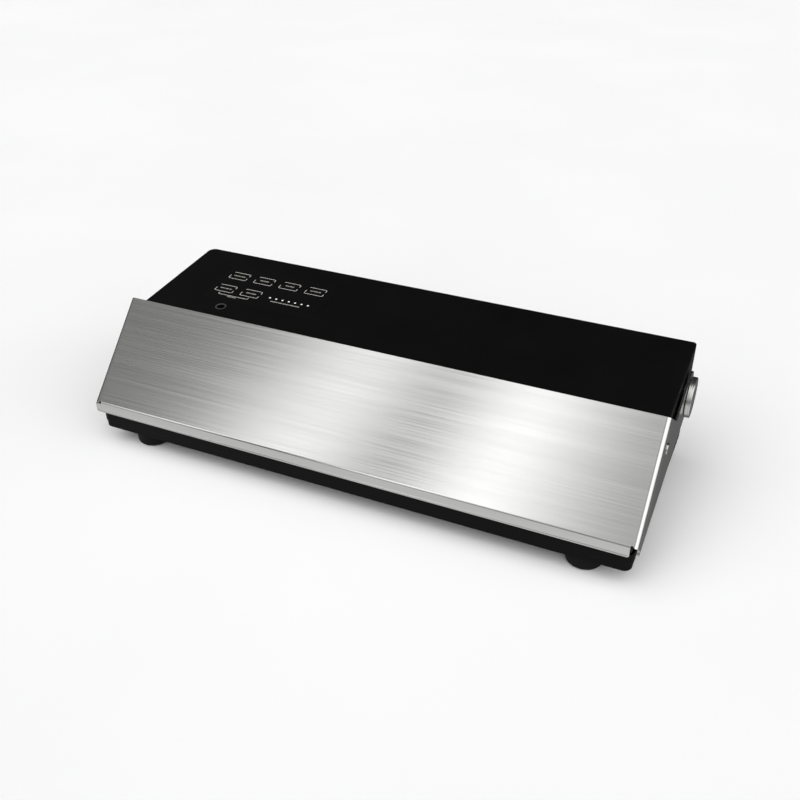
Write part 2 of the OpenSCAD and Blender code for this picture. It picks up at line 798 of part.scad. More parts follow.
module hinge_bushes() {
    hole = pin_r + fit;
    color([0.9, 0.9, 0.86]) both_sides() difference() {
        union() {
            rod_x(body_hw + play, hw - sheet_t - 0.1, pivot[0], pivot[1], hole + bush_wall + 2);
            rod_x(body_hw + play, hw + play, pivot[0], pivot[1], hole + bush_wall);
        }
        rod_x(body_hw - 1, hw + 1, pivot[0], pivot[1], hole);
    }
}

// ---- Lid ----

// Panel, fold and hem in one folded strip, seen from the side
module strip_profile() {
    c = [yf + fold_r, fold_h - fold_r * (1 - sin(panel_slope)) / cos(panel_slope)];
    low = fold_h - hem_h;
    polygon(concat([panel_top], arc(c, fold_r, 90 + panel_slope, 180, 6),
        [[yf, low + bead_r], [yf + sheet_t, low + bead_r]],
        arc(c, fold_r - sheet_t, 180, 90 + panel_slope, 6), [on_panel(panel_len, sheet_t)]));
    translate([yf + bead_r, low + bead_r]) circle(bead_r);
}

neck = panel_top + [neck_back, -neck_drop];
front_low = [yf + 1.5, flange_low];

module flange_profile() {
    polygon([front_low, touch(front_low, pivot, arm_r, -1), pivot, touch(neck, pivot, arm_r, 1), neck,
        on_panel(panel_len, bend_r), on_panel(0, bend_r), [front_low[0], flange_low + 2]]);
    translate(pivot) circle(arm_r);
}

module bend_profile() {
    intersection() {
        difference() {
            circle(bend_r);
            circle(bend_r - sheet_t);
        }
        square(bend_r);
    }
    translate([bend_r - sheet_t, -0.5]) square([sheet_t, 0.51]);
}

rivet = [frame_rear - 6, panel_top[1] - 18];
rivet_r = 2;

module lid_cover() {
    color(steel) difference() {
        union() {
            across(-hw + hem_back, hw - hem_back) strip_profile();
            on_cover() box([-hw + bend_r, fold_r, -sheet_t], [hw - bend_r, panel_len, 0]);
            both_sides() {
                on_cover() translate([hw - bend_r, panel_len, -bend_r]) rotate([90, 0, 0]) linear_extrude(panel_len)
                    bend_profile();
                across(hw - sheet_t, hw) flange_profile();
            }
        }
        both_sides() {
            rod_x(hw - 3, hw + 1, pivot[0], pivot[1], pin_r + 2 * fit + bush_wall);
            rod_x(hw - 3, hw + 1, rivet[0], rivet[1], rivet_r + fit);
        }
    }
}

// Height of the panel's inner side at y, with a gap d below its outer face
function panel_z(y, d) = fold_h + (y - yf) * tan(panel_slope) - d / cos(panel_slope);

// Moulded frame under the panel: a tray open to the panel, with the chamber's upper half
module frame_outline() {
    d = sheet_t + 0.1;
    y0 = yf + sheet_t + 0.3;
    y1 = y0 + 3;
    polygon([[y0, frame_low], [y0, panel_z(y1, d) - 4], [y1, panel_z(y1, d)],
        [frame_rear, panel_z(frame_rear, d)], [frame_rear, frame_low]]);
}

lid_recess = 9;

module lid_frame() {
    floor_t = 2 * wall;
    color([0.07, 0.07, 0.07]) difference() {
        union() {
            difference() {
                across(-frame_hw, frame_hw) frame_outline();
                box([-frame_hw + wall, yf + 8, frame_low + floor_t], [frame_hw - wall, frame_rear - wall, 2 * rear_h]);
            }
            box([-chamber_hl - wall, chamber_front - wall, frame_low],
                [chamber_hl + wall, chamber_back + wall, frame_low + lid_recess + wall]);
            for (x = [-120:60:120]) across(x - 1, x + 1) frame_outline();
            both_sides() rod_x(frame_hw - wall, hw - sheet_t - play, rivet[0], rivet[1], 5);
            translate([switch_x, peg_y, deck_h - deck_t + 2.8])
                cylinder(r = peg_r, h = frame_low - deck_h + deck_t - 2);
        }
        box([-chamber_hl, chamber_front, frame_low - 1], [chamber_hl, chamber_back, frame_low + lid_recess]);
        translate([0, 0, frame_low - 1]) linear_extrude(groove_d + 1) gasket_outline();
        box([-bar_len / 2 - play, bar_y - play, frame_low - 1],
            [bar_len / 2 + play, bar_y + bar_w + play, frame_low + groove_d]);
        both_sides() rod_x(frame_hw - 10, hw, rivet[0], rivet[1], rivet_r + fit);
    }
}

module upper_gasket() {
    color([0.14, 0.14, 0.14]) translate([0, 0, upper_low])
        linear_extrude(frame_low + groove_d - upper_low) gasket_outline();
}

module pressure_strip() {
    color([0.6, 0.16, 0.12]) box([-bar_len / 2, bar_y, bar_top + tape_t + play],
        [bar_len / 2, bar_y + bar_w, frame_low + groove_d]);
}

module lid_rivets() {
    color(steel) both_sides() {
        rod_x(hw, hw + 1, rivet[0], rivet[1], 3.8);
        rod_x(frame_hw - 8, hw + eps, rivet[0], rivet[1], rivet_r);
    }
}

base_shell();
bottom_cover();
top_housing();
rubber_feet();
foot_screws();
housing_screws();
sealing_bar();
heating_band();
seal_tape();
lower_gasket();
vacuum_nozzle();
control_overlay();
control_board();
board_screws();
key_switches();
indicator_lamps();
accessory_port();
release_valve();
valve_tube();
port_tube();
pump_tube();
tube_elbow();
pump_motor();
motor_bracket();
bracket_screws();
pump_body();
pump_heads();
pump_end_plate();
power_board();
transformer();
power_parts();
lid_switch();
cord_gland();
hinge_pins();
pivot_caps();
lid_cover();
lid_frame();
upper_gasket();
pressure_strip();
hinge_bushes();
lid_rivets();
motor_shaft();
pump_crank();
cooling_fan();
power_key();
start_key();
seal_key();
pulse_key();
moist_key();
canister_key();
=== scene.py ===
"""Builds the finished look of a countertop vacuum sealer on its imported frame."""

import json
import logging
import math
from dataclasses import dataclass, field
from enum import Enum
from typing import Iterable, Sequence

import bmesh
import bpy
from mathutils import Matrix, Vector


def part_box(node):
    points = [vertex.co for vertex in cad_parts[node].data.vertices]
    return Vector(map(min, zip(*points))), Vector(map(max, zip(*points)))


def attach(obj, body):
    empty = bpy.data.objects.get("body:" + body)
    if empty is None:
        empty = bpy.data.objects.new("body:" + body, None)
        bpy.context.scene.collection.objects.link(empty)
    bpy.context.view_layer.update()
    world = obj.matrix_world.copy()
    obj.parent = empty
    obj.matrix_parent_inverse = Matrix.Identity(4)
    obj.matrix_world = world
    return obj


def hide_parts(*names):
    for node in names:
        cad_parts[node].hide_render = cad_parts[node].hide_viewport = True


log = logging.getLogger("vacuum_sealer")
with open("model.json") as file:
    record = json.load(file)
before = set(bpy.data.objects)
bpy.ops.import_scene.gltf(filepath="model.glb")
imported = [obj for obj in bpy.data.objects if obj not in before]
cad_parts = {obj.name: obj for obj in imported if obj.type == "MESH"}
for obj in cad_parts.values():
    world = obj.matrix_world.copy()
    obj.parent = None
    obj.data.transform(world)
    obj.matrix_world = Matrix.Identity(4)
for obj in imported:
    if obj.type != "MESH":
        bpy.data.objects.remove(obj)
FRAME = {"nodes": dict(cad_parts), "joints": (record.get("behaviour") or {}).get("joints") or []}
MM = 0.001
Point2 = tuple[float, float]
Colour = tuple[float, float, float]


class Axis(Enum):
    """Direction in which an outline is extruded or a profile is turned."""

    X = "x"
    Z = "z"


class Body(Enum):
    """Rigid bodies of the frame that pieces ride on."""

    MAIN = "body"
    LID = "lid"
    ROTOR = "rotor"


# ---- Materials ----


class Tree:
    """Short-hand for building a node tree."""

    tree: bpy.types.NodeTree

    def add(self, kind: str, **values: object) -> bpy.types.Node:
        """Adds a node and sets its properties.

        Args:
            kind: Blender's name of the node type.
            values: Properties of the node by name.

        Returns:
            The new node.
        """
        node = self.tree.nodes.new(kind)
        for key, value in values.items():
            setattr(node, key, value)
        return node

    def link(self, source: bpy.types.NodeSocket, target: bpy.types.NodeSocket) -> None:
        """Joins two sockets."""
        self.tree.links.new(source, target)

    def spread(self, value: bpy.types.NodeSocket, low: float, high: float,
               start: float = 0.3, end: float = 0.7) -> bpy.types.NodeSocket:
        """Maps start..end of a value to low..high and returns the result's socket."""
        node = self.add("ShaderNodeMapRange")
        node.inputs["From Min"].default_value = start
        node.inputs["From Max"].default_value = end
        node.inputs["To Min"].default_value = low
        node.inputs["To Max"].default_value = high
        self.link(value, node.inputs["Value"])
        return node.outputs["Result"]


class Nodes(Tree):
    """Short-hand for building one material's node tree."""

    def __init__(self, name: str) -> None:
        """Starts a material with only its output and a principled shader."""
        self.material = bpy.data.materials.new(name + "_finish")
        self.material.use_nodes = True
        self.tree = self.material.node_tree
        self.shader = next(n for n in self.tree.nodes if n.type == "BSDF_PRINCIPLED")

    def set(self, **values: object) -> None:
        """Sets constants on the principled shader, with _ for each space in a socket's name."""
        for key, value in values.items():
            self.shader.inputs[key.replace("_", " ")].default_value = value

    def noise(self, stretch: Sequence[float], scale: float, detail: float = 3.0) -> bpy.types.NodeSocket:
        """Adds a noise texture on the object's own coordinates.

        Args:
            stretch: Scale of the coordinates along X, Y and Z.
            scale: Scale of the noise itself.
            detail: Number of octaves.

        Returns:
            The noise's value, from 0 to 1.
        """
        place = self.add("ShaderNodeTexCoord")
        mapping = self.add("ShaderNodeMapping")
        mapping.inputs["Scale"].default_value = stretch
        texture = self.add("ShaderNodeTexNoise")
        texture.inputs["Scale"].default_value = scale
        texture.inputs["Detail"].default_value = detail
        self.link(place.outputs["Object"], mapping.inputs["Vector"])
        self.link(mapping.outputs["Vector"], texture.inputs["Vector"])
        return texture.outputs["Fac"]

    def roughen(self, value: bpy.types.NodeSocket, low: float, high: float,
                start: float = 0.3, end: float = 0.7) -> None:
        """Drives the roughness from low to high by start..end of a value."""
        self.link(self.spread(value, low, high, start, end), self.shader.inputs["Roughness"])

    def shade(self, value: bpy.types.NodeSocket, dark: Colour, light: Colour) -> None:
        """Drives the base colour between two colours by a value."""
        mix = self.add("ShaderNodeMix", data_type="RGBA")
        mix.inputs["A"].default_value = (*dark, 1.0)
        mix.inputs["B"].default_value = (*light, 1.0)
        self.link(value, mix.inputs["Factor"])
        self.link(mix.outputs["Result"], self.shader.inputs["Base Color"])

    def bump(self, value: bpy.types.NodeSocket, strength: float, depth: float) -> None:
        """Raises the surface by a value, to a depth in metres."""
        node = self.add("ShaderNodeBump")
        node.inputs["Strength"].default_value = strength
        node.inputs["Distance"].default_value = depth
        self.link(value, node.inputs["Height"])
        self.link(node.outputs["Normal"], self.shader.inputs["Normal"])


@dataclass(frozen=True)
class Moulding:
    """Moulded plastic or rubber with a fine spark-eroded grain."""

    name: str
    colour: Colour
    roughness: float = 0.45
    grain: float = 900.0
    depth: float = 0.00004
    specular: float = 0.4
    variation: float = 0.15

    def build(self) -> bpy.types.Material:
        """Returns the material."""
        nodes = Nodes(self.name)
        grain = nodes.noise((1, 1, 1), self.grain, 2.0)
        cloud = nodes.noise((1, 1, 1), 22.0, 4.0)
        dark = tuple(c * (1 - self.variation) for c in self.colour)
        light = tuple(c * (1 + self.variation) for c in self.colour)
        nodes.shade(nodes.spread(cloud, 0, 1), dark, light)
        nodes.roughen(cloud, self.roughness - 0.05, self.roughness + 0.05)
        nodes.bump(grain, 0.5, self.depth)
        nodes.set(Specular_IOR_Level=self.specular)
        return nodes.material


@dataclass(frozen=True)
class BrushedSteel:
    """Sheet steel brushed along X, with long fine streaks and broader cloudy bands."""

    name: str
    colour: Colour
    roughness: float = 0.17
    anisotropy: float = 0.9
    streak: float = 0.05

    def build(self) -> bpy.types.Material:
        """Returns the material."""
        nodes = Nodes(self.name)
        fine = nodes.noise((3, 900, 900), 2.2, 3.0)
        broad = nodes.noise((1.2, 60, 60), 2.0, 4.0)
        total = nodes.add("ShaderNodeMath", operation="ADD")
        half = nodes.add("ShaderNodeMath", operation="MULTIPLY")
        half.inputs[1].default_value = 0.5
        nodes.link(fine, total.inputs[0])
        nodes.link(broad, total.inputs[1])
        nodes.link(total.outputs[0], half.inputs[0])
        grain = half.outputs[0]
        dark = tuple(c * (1 - self.streak) for c in self.colour)
        light = tuple(min(1.0, c * (1 + self.streak)) for c in self.colour)
        nodes.shade(nodes.spread(grain, 0, 1, 0.4, 0.6), dark, light)
        nodes.roughen(fine, self.roughness - 0.02, self.roughness + 0.03, 0.4, 0.6)
        nodes.bump(fine, 0.12, 0.00001)
        tangent = nodes.add("ShaderNodeTangent", direction_type="UV_MAP", uv_map="brush")
        nodes.link(tangent.outputs["Tangent"], nodes.shader.inputs["Tangent"])
        nodes.set(Metallic=1.0, Anisotropic=self.anisotropy, Anisotropic_Rotation=0.25)
        return nodes.material


@dataclass(frozen=True)
class Metal:
    """Plain metal with faint machining marks and a little tarnish."""

    name: str
    colour: Colour
    roughness: float = 0.3
    marks: Colour = (1, 1, 1)

    def build(self) -> bpy.types.Material:
        """Returns the material."""
        nodes = Nodes(self.name)
        cloud = nodes.noise(self.marks, 60.0, 4.0)
        fine = nodes.noise(self.marks, 700.0, 2.0)
        dark = tuple(c * 0.86 for c in self.colour)
        nodes.shade(nodes.spread(cloud, 0, 1), dark, self.colour)
        nodes.roughen(cloud, self.roughness - 0.06, self.roughness + 0.08)
        nodes.bump(fine, 0.15, 0.00001)
        nodes.set(Metallic=1.0)
        return nodes.material


@dataclass(frozen=True)
class Weave:
    """Glass-cloth tape: a plain weave of threads along X and Y under a brown coat."""

    name: str
    dark: Colour
    light: Colour
    pitch: float = 0.0006

    def build(self) -> bpy.types.Material:
        """Returns the material."""
        nodes = Nodes(self.name)
        place = nodes.add("ShaderNodeTexCoord")
        checker = nodes.add("ShaderNodeTexChecker")
        checker.inputs["Scale"].default_value = 1 / self.pitch
        nodes.link(place.outputs["Object"], checker.inputs["Vector"])
        nodes.shade(checker.outputs["Fac"], self.dark, self.light)
        nodes.bump(checker.outputs["Fac"], 0.4, 0.00003)
        nodes.set(Roughness=0.5, Specular_IOR_Level=0.3)
        return nodes.material


@dataclass(frozen=True)
class Foam:
    """Closed-cell foam pitted with small open pore hollows whose middles are darkened as painted shade."""

    name: str
    colour: Colour

    def build(self) -> bpy.types.Material:
        """Returns the material."""
        nodes = Nodes(self.name)
        place = nodes.add("ShaderNodeTexCoord")
        cells = nodes.add("ShaderNodeTexVoronoi")
        cells.inputs["Scale"].default_value = 1600.0
        nodes.link(place.outputs["Object"], cells.inputs["Vector"])
        pore_depth_and_shade = nodes.spread(cells.outputs["Distance"], 0, 1, 0.1, 0.5)
        # The darker colour in the pore hollows is painted shade; the same value sinks them with the bump.
        nodes.shade(pore_depth_and_shade, tuple(c * 0.4 for c in self.colour), self.colour)
        nodes.bump(pore_depth_and_shade, 0.8, 0.0002)
        nodes.set(Roughness=0.9, Specular_IOR_Level=0.15)
        return nodes.material


@dataclass(frozen=True)
class Board:
    """Green circuit board with lighter copper traces under the lacquer."""

    name: str
    green: Colour
    trace: Colour

    def build(self) -> bpy.types.Material:
        """Returns the material."""
        nodes = Nodes(self.name)
        place = nodes.add("ShaderNodeTexCoord")
        bricks = nodes.add("ShaderNodeTexBrick", offset=0.37)
        bricks.inputs["Scale"].default_value = 90.0
        bricks.inputs["Mortar Size"].default_value = 0.012
        bricks.inputs["Color1"].default_value = (*self.green, 1)
        bricks.inputs["Color2"].default_value = (*(c * 0.8 for c in self.green), 1)
        bricks.inputs["Mortar"].default_value = (*self.trace, 1)
        nodes.link(place.outputs["Object"], bricks.inputs["Vector"])
        nodes.link(bricks.outputs["Color"], nodes.shader.inputs["Base Color"])
        nodes.bump(bricks.outputs["Fac"], 0.2, 0.00003)
        nodes.set(Roughness=0.35)
        return nodes.material


@dataclass(frozen=True)
class Ink:
    """Printed ink with a slightly uneven cover."""

    name: str
    colour: Colour
    metallic: float = 0.0

    def build(self) -> bpy.types.Material:
        """Returns the material."""
        nodes = Nodes(self.name)
        cloud = nodes.noise((1, 1, 1), 1500.0, 2.0)
        dark = tuple(c * 0.8 for c in self.colour)
        nodes.shade(nodes.spread(cloud, 0, 1), dark, self.colour)
        nodes.set(Roughness=0.5, Metallic=self.metallic, Specular_IOR_Level=0.2)
        return nodes.material


@dataclass(frozen=True)
class LampLens:
    """White light pipe that shows its lamp faintly lit."""

    name: str
    colour: Colour
    glow: float = 0.35

    def build(self) -> bpy.types.Material:
        """Returns the material."""
        nodes = Nodes(self.name)
        cloud = nodes.noise((1, 1, 1), 700.0, 2.0)
        dark = tuple(c * 0.9 for c in self.colour)
        nodes.shade(nodes.spread(cloud, 0, 1), dark, self.colour)
        nodes.set(Roughness=0.3, Emission_Color=(*self.colour, 1), Emission_Strength=self.glow)
        return nodes.material


FINISHES: dict[str, object] = {
    "black_shell": Moulding("black_shell", (0.003, 0.003, 0.003), 0.45, 1100.0, 0.00002, 0.16),
    # Darker, duller copy of the black shell plastic: its darker colour is painted shade for the base shell
    # and bottom cover below the hem.
    "black_base": Moulding("black_base", (0.002, 0.002, 0.002), 0.4, 1000.0, 0.00002, 0.09),
    "inner_plastic": Moulding("inner_plastic", (0.012, 0.012, 0.013), 0.55, 700.0, 0.00006, 0.3),
    "overlay": Moulding("overlay", (0.0035, 0.0035, 0.0037), 0.4, 1500.0, 0.00001, 0.16, 0.05),
    "key_cap": Moulding("key_cap", (0.0038, 0.0038, 0.004), 0.42, 1500.0, 0.00001, 0.16, 0.05),
    "black_rubber": Moulding("black_rubber", (0.005, 0.005, 0.005), 0.6, 500.0, 0.0001, 0.12),
    "silicone": Moulding("silicone", (0.4, 0.05, 0.035), 0.5, 500.0, 0.00005, 0.4),
    "nylon": Moulding("nylon", (0.7, 0.69, 0.62), 0.45, 400.0, 0.00003, 0.4, 0.04),
    "tube": Moulding("tube", (0.5, 0.54, 0.56), 0.3, 300.0, 0.00002, 0.5, 0.06),
    "pump_case": Moulding("pump_case", (0.03, 0.03, 0.033), 0.5, 600.0, 0.00006, 0.35),
    "steel": BrushedSteel("steel", (0.64, 0.64, 0.63)),
    "bright_metal": Metal("bright_metal", (0.74, 0.74, 0.73), 0.24),
    "plated_steel": Metal("plated_steel", (0.55, 0.55, 0.53), 0.34),
    "bar_metal": Metal("bar_metal", (0.6, 0.6, 0.58), 0.35, (0.05, 1, 1)),
    "motor_can": Metal("motor_can", (0.5, 0.5, 0.5), 0.4, (0.1, 1, 1)),
    "iron_core": Metal("iron_core", (0.16, 0.14, 0.13), 0.5, (12, 1, 1)),
    "brass_part": Metal("brass_part", (0.6, 0.43, 0.18), 0.3),
    "foam": Foam("foam", (0.03, 0.03, 0.03)),
    "tape": Weave("tape", (0.22, 0.12, 0.05), (0.38, 0.22, 0.1)),
    "board": Board("board", (0.012, 0.08, 0.03), (0.04, 0.2, 0.08)),
    "lamp": LampLens("lamp", (0.85, 0.86, 0.88)),
    "silver_ink": Ink("silver_ink", (0.68, 0.66, 0.63)),
    "caption_ink": Ink("caption_ink", (0.44, 0.42, 0.38)),
    # Lighter grey copy of the black plastic for the port's rim: painted highlight.
    "port_ring": Moulding("port_ring", (0.05, 0.05, 0.05), 0.3, 900.0, 0.00002, 0.6),
}


def finish(name: str) -> bpy.types.Material:
    """Returns the named finish's material, built the first time that it is asked for."""
    return bpy.data.materials.get(name + "_finish") or FINISHES[name].build()


# ---- Mesh helpers ----


def new_object(name: str, data: bpy.types.ID) -> bpy.types.Object:
    """Makes an object of a mesh, a light or a camera and links it to the scene."""
    obj = bpy.data.objects.new(name, data)
    bpy.context.scene.collection.objects.link(obj)
    return obj


def mesh_object(name: str, points: Iterable[Sequence[float]],
                faces: Iterable[Sequence[int]]) -> bpy.types.Object:
    """Makes a mesh object at the origin with its place in its vertices, faces outwards.

    Args:
        name: Name of the piece.
        points: Vertices in metres.
        faces: Vertex indices of each face.

    Returns:
        The new object, linked to the scene.
    """
    mesh = bpy.data.meshes.new(name)
    mesh.from_pydata([tuple(p) for p in points], [], [tuple(f) for f in faces])
    obj = new_object(name, mesh)
    turn_outwards(obj)
    return obj


def turn_outwards(obj: bpy.types.Object) -> None:
    """Merges doubled vertices and points every face outwards."""
    mesh = bmesh.new()
    mesh.from_mesh(obj.data)
    bmesh.ops.remove_doubles(mesh, verts=mesh.verts, dist=1e-6)
    bmesh.ops.recalc_face_normals(mesh, faces=mesh.faces)
    mesh.to_mesh(obj.data)
    mesh.free()


def apply_modifiers(obj: bpy.types.Object) -> None:
    """Turns the modifiers' result into the object's own plain mesh."""
    graph = bpy.context.evaluated_depsgraph_get()
    result = bpy.data.meshes.new_from_object(obj.evaluated_get(graph))
    result.name = obj.name
    obj.modifiers.clear()
    obj.data = result


def soften(obj: bpy.types.Object, width: float, segments: int = 2, angle: float = 35.0) -> bpy.types.Object:
    """Rounds the sharp edges and smooths the shading, leaving flat faces flat.

    Args:
        obj: Piece to round.
        width: Width of the bevel in metres.
        segments: Number of steps in each bevel.
        angle: Edges sharper than this many degrees are rounded.

    Returns:
        The same object.
    """
    bevel = obj.modifiers.new("edge_round", "BEVEL")
    bevel.width = width
    bevel.segments = segments
    bevel.limit_method = "ANGLE"
    bevel.angle_limit = math.radians(angle)
    bevel.use_clamp_overlap = True
    bevel.miter_outer = "MITER_ARC"
    apply_modifiers(obj)
    smooth(obj)
    return obj


def smooth(obj: bpy.types.Object) -> bpy.types.Object:
    """Shades the mesh smoothly, weighted by face area so that flat faces stay flat."""
    obj.data.polygons.foreach_set("use_smooth", [True] * len(obj.data.polygons))
    weighted = obj.modifiers.new("flat_faces", "WEIGHTED_NORMAL")
    weighted.keep_sharp = True
    weighted.weight = 80
    apply_modifiers(obj)
    return obj


def cut(obj: bpy.types.Object, cutters: Iterable[bpy.types.Object]) -> bpy.types.Object:
    """Takes each cutter's volume out of a piece and removes the cutter."""
    for cutter in cutters:
        tool = obj.modifiers.new("cut", "BOOLEAN")
        tool.operation = "DIFFERENCE"
        tool.solver = "EXACT"
        tool.object = cutter
        apply_modifiers(obj)
        bpy.data.objects.remove(cutter)
    return obj


def arc(centre: Point2, radius: float, start: float, end: float, steps: int = 8) -> list[Point2]:
    """Returns points on an arc between two angles in degrees, ends included."""
    angles = [math.radians(start + (end - start) * i / steps) for i in range(steps + 1)]
    return [(centre[0] + radius * math.cos(a), centre[1] + radius * math.sin(a)) for a in angles]


def rounded_rectangle(low: Point2, high: Point2, radii: Sequence[float], steps: int = 8) -> list[Point2]:
    """Returns a rounded rectangle's outline.

    Args:
        low: Lowest corner.
        high: Highest corner.
        radii: Radius at the low-low, high-low, high-high and low-high corner.
        steps: Number of steps in each corner.

    Returns:
        The outline's points, anticlockwise.
    """
    corners = [(low[0], low[1]), (high[0], low[1]), (high[0], high[1]), (low[0], high[1])]
    points: list[Point2] = []
    for i, ((x, y), r) in enumerate(zip(corners, radii)):
        cx = x + (r if i in (0, 3) else -r)
        cy = y + (r if i in (0, 1) else -r)
        points += arc((cx, cy), r, 180 + 90 * i, 270 + 90 * i, steps)
    return points


def prism(name: str, outline: Sequence[Point2], axis: Axis, start: float, end: float) -> bpy.types.Object:
    """Extrudes a closed outline along X (outline in Y and Z) or Z (outline in X and Y).

    Args:
        name: Name of the piece.
        outline: Closed outline in metres.
        axis: Direction of the extrusion.
        start: Where it starts along the axis.
        end: Where it ends.

    Returns:
        The new object.
    """
    count = len(outline)
    points = [(t, a, b) if axis is Axis.X else (a, b, t) for t in (start, end) for a, b in outline]
    sides = [(i, (i + 1) % count, count + (i + 1) % count, count + i) for i in range(count)]
    ends = [tuple(range(count)), tuple(range(2 * count - 1, count - 1, -1))]
    return mesh_object(name, points, sides + ends)


def block(name: str, low: Sequence[float], high: Sequence[float]) -> bpy.types.Object:
    """Makes a box between two corners."""
    outline = [(low[0], low[1]), (high[0], low[1]), (high[0], high[1]), (low[0], high[1])]
    return prism(name, outline, Axis.Z, low[2], high[2])


def lathe(name: str, profile: Sequence[Point2], centre: Vector, axis: Axis, side: float = 1.0,
          steps: int = 72) -> bpy.types.Object:
    """Turns a profile of (radius, height) points about an axis; zero radii close at a pole.

    Args:
        name: Name of the piece.
        profile: Points from one end of the axis to the other.
        centre: Where the axis starts.
        axis: Direction of the axis.
        side: 1 or -1, the way in which height grows.
        steps: Number of steps round.

    Returns:
        The new object.
    """
    points: list[Vector] = []
    faces: list[tuple[int, ...]] = []
    for radius, height in profile:
        for i in range(steps):
            a = 2 * math.pi * i / steps
            ring = Vector((radius * math.cos(a), radius * math.sin(a), side * height))
            points.append(centre + (Vector((ring.z, ring.x, ring.y)) if axis is Axis.X else ring))
    for j in range(len(profile) - 1):
        for i in range(steps):
            k = (i + 1) % steps
            faces.append((j * steps + i, j * steps + k, (j + 1) * steps + k, (j + 1) * steps + i))
    return mesh_object(name, points, faces)


def drill(radius: float, length: float, start: Vector, axis: Axis, side: float = 1.0,
          steps: int = 48) -> bpy.types.Object:
    """Makes a solid round rod that cuts a hole."""
    profile = [(0, 0), (radius, 0), (radius, length), (0, length)]
    return lathe("drill", profile, start, axis, side, steps)


def join(name: str, parts: Sequence[bpy.types.Object]) -> bpy.types.Object:
    """Joins plain mesh objects into one, keeping their materials."""
    merged = bmesh.new()
    materials: list[bpy.types.Material] = []
    for part in parts:
        shift = len(materials)
        materials += list(part.data.materials)
        before = len(merged.faces)
        merged.from_mesh(part.data)
        merged.faces.ensure_lookup_table()
        for face in merged.faces[before:]:
            face.material_index += shift
        bpy.data.objects.remove(part)
    mesh = bpy.data.meshes.new(name)
    merged.to_mesh(mesh)
    merged.free()
    for material in materials:
        mesh.materials.append(material)
    obj = new_object(name, mesh)
    return obj


def hand_over(obj: bpy.types.Object, body: str, slot: str, nodes: Sequence[str] = (),
              look: str | None = None) -> bpy.types.Object:
    """Dresses a finished piece, lets it ride on a body and reports it.

    Args:
        obj: The finished piece.
        body: Name of the frame's body that it moves with.
        slot: The record's material slot.
        nodes: Frame nodes that it stands for.
        look: Finish, where it isn't the slot's own; empty to keep the piece's materials.

    Returns:
        The same object.
    """
    if look != "":
        obj.data.materials.clear()
        obj.data.materials.append(finish(look or slot))
    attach(obj, body)
    if nodes:
        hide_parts(*nodes)
    log.info("%s: %d faces on %s", obj.name, len(obj.data.polygons), body)
    return obj


# ---- Geometry Nodes for what repeats ----


class Repeater:
    """A Geometry Nodes tree that sets copies of one part on a mesh's points."""

    def __init__(self) -> None:
        """Builds the tree with its named inputs."""
        self.tree = bpy.data.node_groups.new("set_on_points", "GeometryNodeTree")
        face = self.tree.interface
        face.new_socket("Points", in_out="INPUT", socket_type="NodeSocketGeometry")
        self.part = face.new_socket("Part", in_out="INPUT", socket_type="NodeSocketObject")
        self.size = face.new_socket("Part Scale", in_out="INPUT", socket_type="NodeSocketFloat")
        self.spin = face.new_socket("Largest Turn", in_out="INPUT", socket_type="NodeSocketFloat")
        self.look = face.new_socket("Finish", in_out="INPUT", socket_type="NodeSocketMaterial")
        face.new_socket("Geometry", in_out="OUTPUT", socket_type="NodeSocketGeometry")
        nodes, links = self.tree.nodes, self.tree.links
        source = nodes.new("NodeGroupInput")
        target = nodes.new("NodeGroupOutput")
        info = nodes.new("GeometryNodeObjectInfo")
        place = nodes.new("GeometryNodeInstanceOnPoints")
        turn = nodes.new("FunctionNodeRandomValue")
        angle = nodes.new("ShaderNodeCombineXYZ")
        turn.data_type = "FLOAT"
        turn.inputs["Seed"].default_value = 11
        realize = nodes.new("GeometryNodeRealizeInstances")
        paint = nodes.new("GeometryNodeSetMaterial")
        links.new(source.outputs["Points"], place.inputs["Points"])
        links.new(source.outputs["Part"], info.inputs["Object"])
        links.new(info.outputs["Geometry"], place.inputs["Instance"])
        links.new(source.outputs["Part Scale"], place.inputs["Scale"])
        links.new(source.outputs["Largest Turn"], turn.inputs[3])
        links.new(turn.outputs[1], angle.inputs["Z"])
        links.new(angle.outputs["Vector"], place.inputs["Rotation"])
        links.new(place.outputs["Instances"], realize.inputs["Geometry"])
        links.new(realize.outputs["Geometry"], paint.inputs["Geometry"])
        links.new(source.outputs["Finish"], paint.inputs["Material"])
        links.new(paint.outputs["Geometry"], target.inputs["Geometry"])

    def run(self, name: str, places: Iterable[Sequence[float]], part: bpy.types.Object, look: str,
            size: float = 1.0, turn: float = 0.0, turned: Matrix | None = None) -> bpy.types.Object:
        """Sets copies of a part on points and returns them as one plain mesh.

        Args:
            name: Name of the piece.
            places: Points in metres, before the turn.
            part: Object to copy, made round the origin; it is removed afterwards.
            look: Name of the finish.
            size: Scale of each copy.
            turn: Largest random turn of a copy about Z, in radians.
            turned: Transform of the whole set, applied to its mesh.

        Returns:
            The new object.
        """
        mesh = bpy.data.meshes.new(name)
        mesh.from_pydata([tuple(p) for p in places], [], [])
        obj = new_object(name, mesh)
        modifier = obj.modifiers.new("copies", "NODES")
        modifier.node_group = self.tree
        modifier[self.part.identifier] = part
        modifier[self.size.identifier] = size
        modifier[self.spin.identifier] = turn
        modifier[self.look.identifier] = finish(look)
        apply_modifiers(obj)
        bpy.data.objects.remove(part)
        if turned is not None:
            obj.data.transform(turned)
        return obj


# ---- Sizes shared by the sub-assemblies ----


